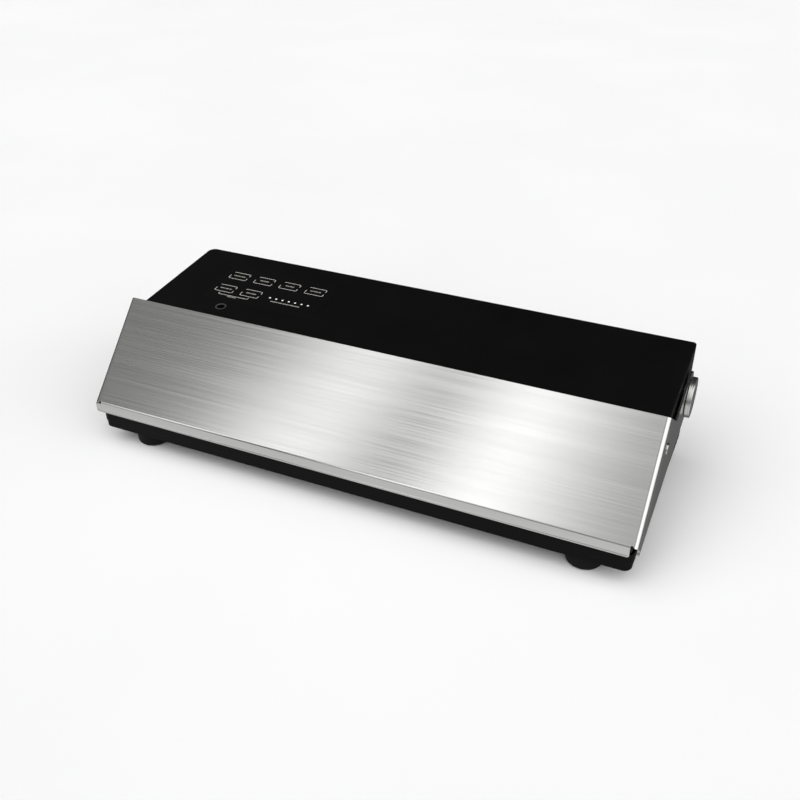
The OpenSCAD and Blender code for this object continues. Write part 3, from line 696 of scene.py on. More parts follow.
@dataclass
class Layout:
    """Main places of the sealer, read from the frame, in metres."""

    slope: float = math.radians(46)
    panel: float = 82 * MM
    fold: float = 34.6 * MM
    sheet: float = 1.5 * MM
    bend: float = 4 * MM
    half: float = field(init=False)
    house_front: float = field(init=False)
    body_half: float = field(init=False)
    front: float = field(init=False)
    rear: float = field(init=False)
    rear_top: float = field(init=False)
    pivot: Vector = field(init=False)
    top_slope: float = field(init=False)

    def __post_init__(self) -> None:
        """Reads the frame's boxes and the lid's hinge."""
        cover_low, cover_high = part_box("lid_cover")
        house_low, house_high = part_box("top_housing")
        self.half = cover_high.x
        self.front = cover_low.y
        self.rear = house_high.y
        self.rear_top = house_high.z
        self.body_half = house_high.x
        hinge = next(j for j in FRAME["joints"] if j["name"] == "lid_hinge")
        self.pivot = Vector(hinge["pos_m"])
        key = next(j for j in FRAME["joints"] if j["name"] == "power_key_press")
        axis = Vector(key["axis"])
        self.top_slope = math.atan2(axis.y, -axis.z)
        self.house_front = house_low.y

    def on_panel(self, along: float, deep: float = 0.0) -> Point2:
        """Returns the (y, z) of a point up the steel panel from the fold, and deep below it."""
        y = self.front + along * math.cos(self.slope) + deep * math.sin(self.slope)
        z = self.fold + along * math.sin(self.slope) - deep * math.cos(self.slope)
        return y, z

    def top_frame(self) -> Matrix:
        """Returns the transform of the sloped top: y = 0 is its rear edge, z = 0 its face."""
        place = Matrix.Translation((0, self.rear, self.rear_top))
        return place @ Matrix.Rotation(self.top_slope, 4, "X")

    def top_box(self, node: str) -> tuple[Vector, Vector]:
        """Returns a node's box in the sloped top's own frame."""
        back = self.top_frame().inverted()
        places = [back @ v.co for v in FRAME["nodes"][node].data.vertices]
        low = Vector([min(p[i] for p in places) for i in range(3)])
        high = Vector([max(p[i] for p in places) for i in range(3)])
        return low, high

    def top_z(self, y: float) -> float:
        """Returns the height of the top's face at y."""
        return self.rear_top - (self.rear - y) * math.tan(self.top_slope)


# ---- Steel lid ----


@dataclass
class LidCover:
    """The folded steel cover: panel, fold, hem, side bends and flanges with arms."""

    layout: Layout
    fold_radius: float = 2.5 * MM
    lip_radius: float = 1.4 * MM
    hem: float = 8.8 * MM
    hem_inset: float = 5.5 * MM
    left_inset: float = 0.8 * MM
    lip_proud: float = 0.25 * MM
    arm_radius: float = 17.5 * MM
    neck_back: float = 26 * MM
    neck_drop: float = 18 * MM
    flange_low: float = 28 * MM
    bush_hole: float = 5.6 * MM
    bend_steps: int = 8

    def tangent(self, start: Vector, side: float) -> list[Point2]:
        """Returns where a line from start touches the arm's round end, on one side."""
        centre = Vector((self.layout.pivot.y, self.layout.pivot.z))
        ray = centre - start
        reach = math.sqrt(ray.length_squared - self.arm_radius ** 2)
        angle = math.atan2(ray.y, ray.x) + side * math.asin(self.arm_radius / ray.length)
        return start.x + reach * math.cos(angle), start.y + reach * math.sin(angle)

    def flange_outline(self) -> list[Point2]:
        """Returns the flange's outline below the bend, from the panel's foot round to its top."""
        lay = self.layout
        centre = (lay.pivot.y, lay.pivot.z)
        foot = Vector((lay.front + 1.5 * MM, self.flange_low))
        top = Vector(lay.on_panel(lay.panel))
        neck = top + Vector((self.neck_back, -self.neck_drop))
        low = self.tangent(foot, -1)
        high = self.tangent(neck, 1)
        start = math.degrees(math.atan2(low[1] - centre[1], low[0] - centre[0]))
        end = math.degrees(math.atan2(high[1] - centre[1], high[0] - centre[0]))
        blend = [tuple(neck + Vector((dy, dz)) * 3 * MM) for dy, dz in ((-0.8, 0.55), (1.0, -0.2))]
        return [lay.on_panel(0, lay.bend), (foot.x, foot.y + 2 * MM), tuple(foot),
                *arc(centre, self.arm_radius, start, end, 40), blend[1], tuple(neck), blend[0],
                lay.on_panel(lay.panel, lay.bend)]

    def flange(self, side: float) -> bpy.types.Object:
        """Builds one side's flange as a flat sheet with its bush hole.

        Args:
            side: 1 for the right flange, -1 for the left.

        Returns:
            The sheet, with no thickness yet.
        """
        lay = self.layout
        mesh = bmesh.new()
        hole = arc((lay.pivot.y, lay.pivot.z), self.bush_hole, 0, 360, 48)[:-1]
        edges = []
        for outline in (self.flange_outline(), hole):
            verts = [mesh.verts.new((side * lay.half, y, z)) for y, z in outline]
            edges += [mesh.edges.new((a, b)) for a, b in zip(verts, verts[1:] + verts[:1])]
        bmesh.ops.triangle_fill(mesh, use_beauty=True, use_dissolve=False, edges=edges)
        data = bpy.data.meshes.new("flange")
        mesh.to_mesh(data)
        mesh.free()
        obj = new_object("flange", data)
        return obj

    def strip(self) -> bpy.types.Object:
        """Builds the panel, fold and hem, with the side bends, as one sheet with no thickness."""
        lay = self.layout
        r = self.fold_radius
        rise = lay.fold - r * (1 - math.sin(lay.slope)) / math.cos(lay.slope)
        fold = arc((lay.front + self.lip_proud + r, rise), r, 90 + math.degrees(lay.slope), 180, 8)
        hem = [(lay.front + self.lip_proud, lay.fold - self.hem + self.lip_radius)]
        edge = lay.half - self.hem_inset
        columns = [-edge + 2 * edge * i / 20 for i in range(21)]
        points: list[tuple[float, float, float]] = []
        faces: list[tuple[int, ...]] = []
        rows = [lay.on_panel(lay.panel), *fold, *hem]
        for y, z in rows:
            points += [(x, y, z) for x in columns]
        count = len(columns)
        for j in range(len(rows) - 1):
            for i in range(count - 1):
                a = j * count + i
                faces.append((a, a + 1, a + count + 1, a + count))
        self.add_bends(points, faces, fold[0], edge)
        return mesh_object("strip", points, faces)

    def add_bends(self, points: list, faces: list, foot: Point2, edge: float) -> None:
        """Adds the panel's side margins and the bends down to the flanges.

        Args:
            points: The strip's vertices so far.
            faces: The strip's faces so far.
            foot: (y, z) of the panel's lower edge.
            edge: Half-width of the strip so far.
        """
        lay = self.layout
        top, toe = lay.on_panel(lay.panel), lay.on_panel(0)
        for side in (-1, 1):
            start = len(points)
            across = [(edge, 0.0)]
            for i in range(self.bend_steps + 1):
                a = math.radians(90 * i / self.bend_steps)
                x = lay.half - lay.bend + lay.bend * math.sin(a)
                across.append((x, lay.bend * (1 - math.cos(a))))
            for x, deep in across:
                low = foot if deep < 1e-9 else toe
                for y, z in (top, low):
                    points.append((side * x, y + deep * math.sin(lay.slope), z - deep * math.cos(lay.slope)))
            for i in range(len(across) - 1):
                a = start + 2 * i
                faces.append((a, a + 1, a + 3, a + 2))

    def lip(self) -> bpy.types.Object:
        """Builds the rolled lower lip of the hem as a rod with domed ends."""
        lay = self.layout
        left, right = self.left_inset - lay.half, lay.half - self.hem_inset
        r = self.lip_radius
        dome = arc((0, 0), r, 0, 90, 6)
        profile = [(radius, left + r - rise) for radius, rise in reversed(dome)]
        profile += [(radius, right - r + rise) for radius, rise in dome]
        centre = Vector((0, lay.front + r, lay.fold - self.hem + r))
        return lathe("lip", profile, centre, Axis.X, steps=24)

    def hem_end(self) -> bpy.types.Object:
        """Builds the hem's left end, which runs out under the side bend."""
        lay = self.layout
        front = lay.front + self.lip_proud
        low = (self.left_inset - lay.half, front, lay.fold - self.hem + self.lip_radius)
        high = (self.hem_inset - lay.half, front + lay.sheet, lay.fold - 1.4 * MM)
        return soften(block("hem_end", low, high), 0.3 * MM, 2)

    def build(self) -> bpy.types.Object:
        """Builds the whole cover with its brushing direction and hands it over."""
        sheet = join("lid_cover_sheet", [self.strip(), self.flange(1), self.flange(-1)])
        turn_outwards(sheet)
        self.point_up(sheet)
        thickness = sheet.modifiers.new("thickness", "SOLIDIFY")
        thickness.thickness = self.layout.sheet
        thickness.offset = -1
        thickness.use_even_offset = True
        apply_modifiers(sheet)
        soften(sheet, 0.25 * MM, 2, 50)
        cover = join("lid_cover_sheet", [sheet, smooth(self.lip()), self.hem_end()])
        brush_along_x(cover)
        return hand_over(cover, Body.LID.value, "steel", ["lid_cover"])

    def point_up(self, sheet: bpy.types.Object) -> None:
        """Turns the open sheet so that the panel's faces point up and to the front."""
        out = Vector((0, -math.sin(self.layout.slope), math.cos(self.layout.slope)))
        largest = max(sheet.data.polygons, key=lambda p: p.area if abs(p.normal.z) > 0.3 else 0)
        if largest.normal.dot(out) < 0:
            sheet.data.flip_normals()


def brush_along_x(obj: bpy.types.Object) -> None:
    """Gives a piece a UV map whose U runs along the brushing: X on the panel, Y on the flanges."""
    mesh = obj.data
    layer = mesh.uv_layers.new(name="brush")
    for face in mesh.polygons:
        sideways = abs(face.normal.x) > 0.8
        for index in face.loop_indices:
            co = mesh.vertices[mesh.loops[index].vertex_index].co
            layer.data[index].uv = (co.y, co.z) if sideways else (co.x, co.y + co.z)


@dataclass
class PivotCaps:
    """Turned silver caps over the hinge pins, with a fine line round each rim."""

    layout: Layout
    radius: float = 14 * MM
    height: float = 3.5 * MM
    stand_off: float = 0.4 * MM

    def profile(self) -> list[Point2]:
        """Returns the cap's half outline from the middle of its back to the middle of its face."""
        r, h = self.radius, self.height
        bore = 3.05 * MM
        socket = h - 1.15 * MM
        lower = [(0, socket), (bore, socket), (bore, 0), (r - 0.3 * MM, 0), (r, 0.3 * MM)]
        rim = [(r, 0.5 * h), (r - 0.12 * MM, 0.52 * h), (r - 0.12 * MM, 0.56 * h), (r, 0.58 * h)]
        crown = arc((r - 0.5 * MM, h - 0.5 * MM), 0.5 * MM, 0, 90, 6)
        face = [(r - 1.8 * MM, h), (r - 2.0 * MM, h - 0.15 * MM), (r - 2.2 * MM, h - 0.15 * MM),
                (r - 2.6 * MM, h - 0.02 * MM), (0, h)]
        return lower + rim + crown + face

    def build(self) -> None:
        """Builds both caps as one piece."""
        caps = []
        for side in (-1, 1):
            out = side * (self.layout.half + self.stand_off)
            centre = Vector((out, self.layout.pivot.y, self.layout.pivot.z))
            caps.append(lathe("cap", self.profile(), centre, Axis.X, side, 96))
        piece = join("pivot_cap_pair", caps)
        turn_outwards(piece)
        smooth(piece)
        hand_over(piece, Body.MAIN.value, "bright_metal", ["pivot_caps"])


# ---- Rear housing and base ----


@dataclass
class Housing:
    """The black rear housing with its sloping top, key windows and cord pocket."""

    layout: Layout
    wall: float = 2.5 * MM
    low: float = 26 * MM
    left_corner: float = 6 * MM
    right_corner: float = 2.2 * MM
    front_corner: float = 2 * MM
    top_round: float = 1.4 * MM
    port_hole: float = 4.35 * MM
    pin_hole: float = 4.05 * MM
    boss_radius: float = 9 * MM
    pocket_reach: float = 10 * MM
    pocket_depth: float = 5 * MM

    def form(self, inset: float, low: float, name: str) -> bpy.types.Object:
        """Builds a closed block with the housing's plan and sloping top.

        Args:
            inset: Distance inside the outer form.
            low: Height of its underside.
            name: Name of the block.

        Returns:
            The block.
        """
        lay = self.layout
        half = lay.body_half - inset
        front, rear = lay.house_front + inset, lay.rear - inset
        corners = (self.front_corner, self.front_corner, self.right_corner, self.left_corner)
        radii = [max(radius - inset, 0.6 * MM) for radius in corners]
        outline = rounded_rectangle((-half, front), (half, rear), radii, 10)
        obj = prism(name, outline, Axis.Z, low, low + 0.1)
        for vertex in obj.data.vertices:
            if vertex.co.z > low + 0.05:
                vertex.co.z = lay.top_z(vertex.co.y) - inset / math.cos(lay.top_slope)
        return obj

    def windows(self) -> list[bpy.types.Object]:
        """Returns cutters for the overlay, the keys and the lamps."""
        lay = self.layout
        turn = lay.top_frame()
        cutters = []
        overlay = self.flat_box("control_overlay", 0.15 * MM)
        cutters.append(self.slab(overlay, 3 * MM, -0.5 * MM, 2 * MM, turn))
        for key in KEYS:
            cutters.append(self.slab(self.flat_box(key, -0.75 * MM), 1.5 * MM, -6 * MM, 2 * MM, turn))
        low, high = self.flat_box("indicator_lamps", 0.05 * MM)
        radius = (high[1] - low[1]) / 2
        pitch = (high[0] - low[0] - 2 * radius) / (LAMPS - 1)
        for i in range(LAMPS):
            place = Vector((low[0] + radius + i * pitch, (low[1] + high[1]) / 2, -6 * MM))
            hole = drill(radius, 9 * MM, place, Axis.Z, 1, 24)
            hole.data.transform(turn)
            cutters.append(hole)
        return cutters

    def flat_box(self, node: str, margin: float) -> tuple[Point2, Point2]:
        """Returns a node's box on the sloped top, grown by a margin."""
        low, high = self.layout.top_box(node)
        return (low.x - margin, low.y - margin), (high.x + margin, high.y + margin)

    def slab(self, area: tuple[Point2, Point2], radius: float, low: float, high: float,
             turn: Matrix) -> bpy.types.Object:
        """Returns a rounded slab on the sloped top between two heights."""
        obj = prism("slab", rounded_rectangle(*area, [radius] * 4, 6), Axis.Z, low, high)
        obj.data.transform(turn)
        return obj

    def build(self) -> None:
        """Builds the shell, cuts its openings and hands it over."""
        lay = self.layout
        shell = self.form(0, self.low, "rear_housing")
        soften(shell, self.top_round, 5, 60)
        cutters = [self.form(self.wall, self.low - 5 * MM, "cavity"), *self.windows()]
        low, high = self.flat_box("accessory_port", 0)
        middle = Vector(((low[0] + high[0]) / 2, (low[1] + high[1]) / 2, -8 * MM))
        hole = drill(self.port_hole, 12 * MM, middle, Axis.Z)
        hole.data.transform(lay.top_frame())
        cutters.append(hole)
        gland_low, gland_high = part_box("cord_gland")
        gx = (gland_low.x + gland_high.x) / 2
        gz = (gland_low.z + gland_high.z) / 2
        reach = self.pocket_reach
        low = (gx - reach, lay.rear - self.pocket_depth, gz - reach)
        cutters.append(block("pocket", low, (gx + reach, lay.rear + 1, gz + reach)))
        for side in (-1, 1):
            centre = Vector((side * (lay.body_half - 6 * MM), lay.pivot.y, lay.pivot.z))
            cutters.append(drill(self.pin_hole, 8 * MM, centre, Axis.X, side))
        cut(shell, cutters)
        smooth(shell)
        hand_over(shell, Body.MAIN.value, "black_shell", ["top_housing"])
        self.pocket(gx, gz)

    def pocket(self, gx: float, gz: float) -> None:
        """Builds the lining of the cord pocket and the bosses for the hinge pins."""
        lay = self.layout
        wall, reach = self.wall, self.pocket_reach
        back = lay.rear - self.pocket_depth
        lining = block("lining", (gx - reach - wall, back - wall, gz - reach - wall),
                       (gx + reach + wall, lay.rear - wall - 0.05 * MM, gz + reach + wall))
        space = block("space", (gx - reach, back, gz - reach), (gx + reach, lay.rear + 1, gz + reach))
        parts = [cut(lining, [space])]
        for side in (-1, 1):
            centre = Vector((side * (lay.body_half - wall - 8 * MM), lay.pivot.y, lay.pivot.z))
            hole, r = self.pin_hole, self.boss_radius
            ring = [(hole, 0), (r, 0), (r, 8 * MM), (hole, 8 * MM), (hole, 0)]
            parts.append(lathe("boss", ring, centre, Axis.X, side, 48))
        inner = join("housing_bosses", parts)
        soften(inner, 0.3 * MM, 1)
        hand_over(inner, Body.MAIN.value, "black_shell")


def finished_copy(name: str, node: str, body: str, slot: str, width: float,
                  look: str | None = None) -> bpy.types.Object:
    """Replaces a frame node by a clean copy of its shape with rounded edges.

    Args:
        name: Name of the new piece.
        node: The frame's node.
        body: Body that it rides on.
        slot: The record's material slot.
        width: Width of the rounded edges in metres.
        look: Finish, where it isn't the slot's own.

    Returns:
        The new piece.
    """
    source = FRAME["nodes"][node]
    data = source.data.copy()
    data.name = name
    obj = new_object(name, data)
    mesh = bmesh.new()
    mesh.from_mesh(data)
    bmesh.ops.remove_doubles(mesh, verts=mesh.verts, dist=2e-6)
    bmesh.ops.dissolve_limit(mesh, angle_limit=math.radians(1), verts=mesh.verts, edges=mesh.edges)
    mesh.to_mesh(data)
    mesh.free()
    soften(obj, width, 2, 40)
    return hand_over(obj, body, slot, [node], look)


# ---- Controls ----


LAMPS = 7
KEYS = ("power_key", "start_key", "seal_key", "pulse_key", "moist_key", "canister_key")


@dataclass
class Controls:
    """Overlay, keys with their printed outlines and captions, and the row of lamps."""

    layout: Layout
    repeater: Repeater
    line: float = 0.42 * MM
    ink: float = 0.04 * MM

    def ribbon(self, route: Sequence[Point2], width: float) -> tuple[list, list]:
        """Returns the vertices and faces of a thin printed line along a route on the top.

        Args:
            route: Points of its middle line.
            width: Width of the line.

        Returns:
            Vertices and faces of a closed flat strip.
        """
        points, faces = [], []
        for i, p in enumerate(route):
            before = Vector(route[max(i - 1, 0)])
            after = Vector(route[min(i + 1, len(route) - 1)])
            way = (after - before).normalized()
            side = Vector((-way.y, way.x)) * width / 2
            for z in (0.0, self.ink):
                points += [(p[0] - side.x, p[1] - side.y, z), (p[0] + side.x, p[1] + side.y, z)]
        for i in range(len(route) - 1):
            a, b = 4 * i, 4 * i + 4
            faces += [(a, b, b + 1, a + 1), (a + 2, a + 3, b + 3, b + 2)]
            faces += [(a, a + 2, b + 2, b), (a + 1, b + 1, b + 3, a + 3)]
        end = 4 * (len(route) - 1)
        faces += [(0, 1, 3, 2), (end, end + 2, end + 3, end + 1)]
        return points, faces

    def lines(self, name: str, routes: Iterable[Sequence[Point2]], width: float) -> bpy.types.Object:
        """Builds several printed lines as one mesh on the sloped top."""
        parts = []
        for route in routes:
            parts.append(mesh_object("line", *self.ribbon(route, width)))
        obj = join(name, parts)
        obj.data.transform(self.layout.top_frame())
        return obj

    def key_outline(self, low: Vector, high: Vector) -> list[list[Point2]]:
        """Returns the two open brackets that frame a key.

        Args:
            low: Key's lowest corner on the top.
            high: Key's highest corner.

        Returns:
            Routes of the lower-left and the upper-right bracket.
        """
        inset = 0.5 * MM
        r = 1.3 * MM
        x0, x1 = low.x + inset, high.x - inset
        y0, y1 = low.y + inset, high.y - inset
        lower = [(x0, y0 + 4.6 * MM), (x0, y0 + r), *arc((x0 + r, y0 + r), r, 180, 270, 6),
                 *arc((x1 - r, y0 + r), r, 270, 350, 6), (x1, y0 + 3 * MM)]
        upper = [*arc((x0 + r + 0.6 * MM, y1 - r), r, 140, 90, 4),
                 *arc((x1 - r, y1 - r), r, 90, 10, 6), (x1, y1 - 3.2 * MM)]
        return [lower, upper]

    def build_keys(self) -> None:
        """Builds each key cap with its printed brackets and caption dashes."""
        rows = ((3, 2, 4), (4, 3), (3, 4), (2, 4, 2), (4, 3, 2), (3, 5))
        for node, words in zip(KEYS, rows):
            finished_copy(node.replace("_key", "_key_cap"), node, node, "key_cap", 0.25 * MM)
            low, high = self.layout.top_box(node)
            margin = 0.9 * MM
            low, high = low + Vector((margin, margin, 0)), high - Vector((margin, margin, 0))
            brackets = self.lines(node + "_brackets", self.key_outline(low, high), self.line)
            hand_over(brackets, node, "key_cap", (), "silver_ink")
            middle = (low + high) / 2
            marks = self.dashes(node + "_marks", (middle.x, middle.y), words, 1.0 * MM, 1.15 * MM)
            hand_over(marks, node, "key_cap", (), "")

    def dashes(self, name: str, middle: Point2, words: Sequence[int], pitch: float,
               tall: float) -> bpy.types.Object:
        """Builds a row of small plain dashes in groups, in place of a caption.

        Args:
            name: Name of the piece.
            middle: Middle of the row on the top.
            words: Number of dashes in each group.
            pitch: Distance between dashes.
            tall: Height of a dash.

        Returns:
            The dashes as one mesh.
        """
        places = []
        x = 0.0
        for count in words:
            places += [x + i * pitch for i in range(count)]
            x += count * pitch + 0.5 * pitch
        shift = (places[0] + places[-1]) / 2
        mark = block("mark", (-0.36 * pitch, -tall / 2, 0), (0.36 * pitch, tall / 2, self.ink))
        spots = [(middle[0] + p - shift, middle[1], 0.0) for p in places]
        return self.repeater.run(name, spots, mark, "caption_ink", turned=self.layout.top_frame())

    def build_lamps(self) -> None:
        """Builds the seven domed light pipes."""
        low, high = self.layout.top_box("indicator_lamps")
        radius = (high.y - low.y) / 2
        pitch = (high.x - low.x - 2 * radius) / (LAMPS - 1)
        depth = high.z - low.z
        dome = [(radius * math.cos(math.radians(a)), -0.35 * MM + 0.35 * MM * math.sin(math.radians(a)))
                for a in range(0, 91, 15)]
        part = smooth(lathe("lamp", [(0, -depth), (radius, -depth), *dome], Vector(), Axis.Z, 1, 24))
        spots = [(low.x + radius + i * pitch, (low.y + high.y) / 2, 0.0) for i in range(LAMPS)]
        lamps = self.repeater.run("lamp_row", spots, part, "lamp", turned=self.layout.top_frame())
        hand_over(lamps, Body.MAIN.value, "lamp", ["indicator_lamps"], "")

    def build_print(self) -> None:
        """Builds the overlay's printed bracket under the front keys and its captions."""
        first_low, first_high = self.layout.top_box("moist_key")
        last_low, last_high = self.layout.top_box("canister_key")
        x0 = (first_low.x + first_high.x) / 2 - 1.5 * MM
        x1 = (last_low.x + last_high.x) / 2 + 1.5 * MM
        y0 = first_low.y - 0.1 * MM
        drop = y0 - 2.4 * MM
        middle = (x0 + x1) / 2
        r = 0.8 * MM
        route = [(x0, y0), (x0, drop + r), *arc((x0 + r, drop + r), r, 180, 270, 4),
                 (x1 - r, drop), *arc((x1 - r, drop + r), r, 270, 360, 4), (x1, y0)]
        bracket = self.lines("pair_bracket", [route], self.line)
        hand_over(bracket, Body.MAIN.value, "overlay", (), "silver_ink")
        caption = self.dashes("pair_caption", (middle, drop - 1.5 * MM), (5, 4), 0.8 * MM, 1.1 * MM)
        hand_over(caption, Body.MAIN.value, "overlay", (), "")
        low, high = self.layout.top_box("indicator_lamps")
        place = ((low.x + high.x) / 2 - 1 * MM, low.y - 3.6 * MM)
        legend = self.dashes("lamp_caption", place, (6, 3, 5, 8), 1.05 * MM, 1.1 * MM)
        hand_over(legend, Body.MAIN.value, "overlay", (), "")

    def paint_port_highlight_and_shade(self, port: bpy.types.Object) -> None:
        """Gives the port's bore the black plastic and leaves its rim in the lighter grey, as painted
        highlight on the rim and painted shade in the bore.
        """
        port.data.materials.append(finish("black_shell"))
        back = self.layout.top_frame().inverted()
        for face in port.data.polygons:
            face.material_index = 1 if (back @ face.center).z < -0.7 * MM else 0

    def build(self) -> None:
        """Builds every control."""
        finished_copy("control_film", "control_overlay", Body.MAIN.value, "overlay", 0.1 * MM)
        self.build_keys()
        self.build_lamps()
        self.build_print()
        # The port's lighter grey rim is painted highlight and its black bore is painted shade.
        port = finished_copy("hose_port", "accessory_port", Body.MAIN.value, "black_shell", 0.5 * MM,
                             "port_ring")
        self.paint_port_highlight_and_shade(port)


# ---- Feet ----


@dataclass
class Feet:
    """Round rubber feet with a rolled lower edge and holes for their screws."""

    layout: Layout
    repeater: Repeater
    top_radius: float = 12.5 * MM
    low_radius: float = 9.5 * MM
    height: float = 13 * MM

    def places(self) -> list[Vector]:
        """Returns the middle of each foot, on the table."""
        low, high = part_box("rubber_feet")
        r = self.top_radius
        return [Vector((x, y, 0)) for x in (low.x + r, high.x - r) for y in (low.y + r, high.y - r)]

    def build(self) -> None:
        """Builds the four feet."""
        h = self.height
        bore = 3.4 * MM
        screw = 1.55 * MM
        roll = arc((self.low_radius, 3 * MM), 3 * MM, -90, -20, 7)
        side = [(self.top_radius, h - 2.6 * MM), (self.top_radius, h - 0.3 * MM),
                (self.top_radius - 0.3 * MM, h)]
        tread = [(bore, 0.3 * MM), (bore + 0.3 * MM, 0), (self.low_radius - 2 * MM, 0),
                 (self.low_radius - 1.8 * MM, 0.35 * MM), (self.low_radius - 1.2 * MM, 0.35 * MM),
                 (self.low_radius - 1.0 * MM, 0)]
        profile = [(screw, h), (screw, 3 * MM), (bore, 3 * MM), *tread, *roll, *side, (screw, h)]
        foot = smooth(lathe("foot", profile, Vector(), Axis.Z, 1, 64))
        feet = self.repeater.run("foot_set", self.places(), foot, "black_rubber")
        hand_over(feet, Body.MAIN.value, "black_rubber", ["rubber_feet"], "")


# ---- Everything under the covers ----


@dataclass(frozen=True)
class CopyJob:
    """A frame node whose shape is kept, with rounded edges."""

    node: str
    slot: str
    width: float
    look: str | None = None


INNER = {
    Body.MAIN: (
        # The base shell and bottom cover take the darker copy of the black plastic as painted shade below
        # the hem.
        CopyJob("base_shell", "black_shell", 0.5 * MM, "black_base"),
        CopyJob("bottom_cover", "inner_plastic", 0.4 * MM, "black_base"),
        CopyJob("foot_screws", "plated_steel", 0.2 * MM),
        CopyJob("housing_screws", "plated_steel", 0.2 * MM),
        CopyJob("sealing_bar", "bar_metal", 0.3 * MM),
        CopyJob("heating_band", "plated_steel", 0.05 * MM),
        CopyJob("seal_tape", "tape", 0.1 * MM),
        CopyJob("lower_gasket", "foam", 0.5 * MM),
        CopyJob("vacuum_nozzle", "nylon", 0.2 * MM),
        CopyJob("control_board", "board", 0.1 * MM),
        CopyJob("board_screws", "plated_steel", 0.15 * MM),
        CopyJob("key_switches", "inner_plastic", 0.15 * MM),
        CopyJob("release_valve", "pump_case", 0.5 * MM),
        CopyJob("valve_tube", "tube", 0.2 * MM),
        CopyJob("port_tube", "tube", 0.2 * MM),
        CopyJob("pump_tube", "tube", 0.2 * MM),
        CopyJob("tube_elbow", "nylon", 0.2 * MM),
        CopyJob("pump_motor", "motor_can", 0.6 * MM),
        CopyJob("motor_bracket", "plated_steel", 0.3 * MM),
        CopyJob("bracket_screws", "plated_steel", 0.2 * MM),
        CopyJob("pump_body", "pump_case", 0.8 * MM),
        CopyJob("pump_heads", "pump_case", 0.5 * MM),
        CopyJob("pump_end_plate", "pump_case", 0.4 * MM),
        CopyJob("power_board", "board", 0.1 * MM),
        CopyJob("transformer", "iron_core", 0.4 * MM),
        CopyJob("power_parts", "inner_plastic", 0.4 * MM),
        CopyJob("lid_switch", "inner_plastic", 0.3 * MM),
        CopyJob("cord_gland", "black_rubber", 0.4 * MM),
        CopyJob("hinge_pins", "plated_steel", 0.3 * MM),
    ),
    Body.LID: (
        CopyJob("lid_frame", "inner_plastic", 0.5 * MM),
        CopyJob("upper_gasket", "foam", 0.5 * MM),
        CopyJob("pressure_strip", "silicone", 0.6 * MM),
        CopyJob("hinge_bushes", "nylon", 0.2 * MM),
        CopyJob("lid_rivets", "bright_metal", 0.35 * MM),
    ),
    Body.ROTOR: (
        CopyJob("motor_shaft", "plated_steel", 0.3 * MM),
        CopyJob("pump_crank", "brass_part", 0.3 * MM),
        CopyJob("cooling_fan", "inner_plastic", 0.15 * MM),
    ),
}


# ---- Studio ----


@dataclass(frozen=True)
class SoftKey:
    """A broad distant light from above that evens out the floor."""

    name: str = "soft_key"
    tilt: tuple[float, float] = (22.0, -14.0)
    strength: float = 1.45
    width: float = 70.0

    def build(self) -> None:
        """Adds the light, hidden from reflections."""
        light = bpy.data.lights.new(self.name, "SUN")
        light.energy = self.strength
        light.angle = math.radians(self.width)
        obj = new_object(self.name, light)
        obj.rotation_euler = (math.radians(self.tilt[0]), math.radians(self.tilt[1]), 0)
        obj.visible_glossy = False


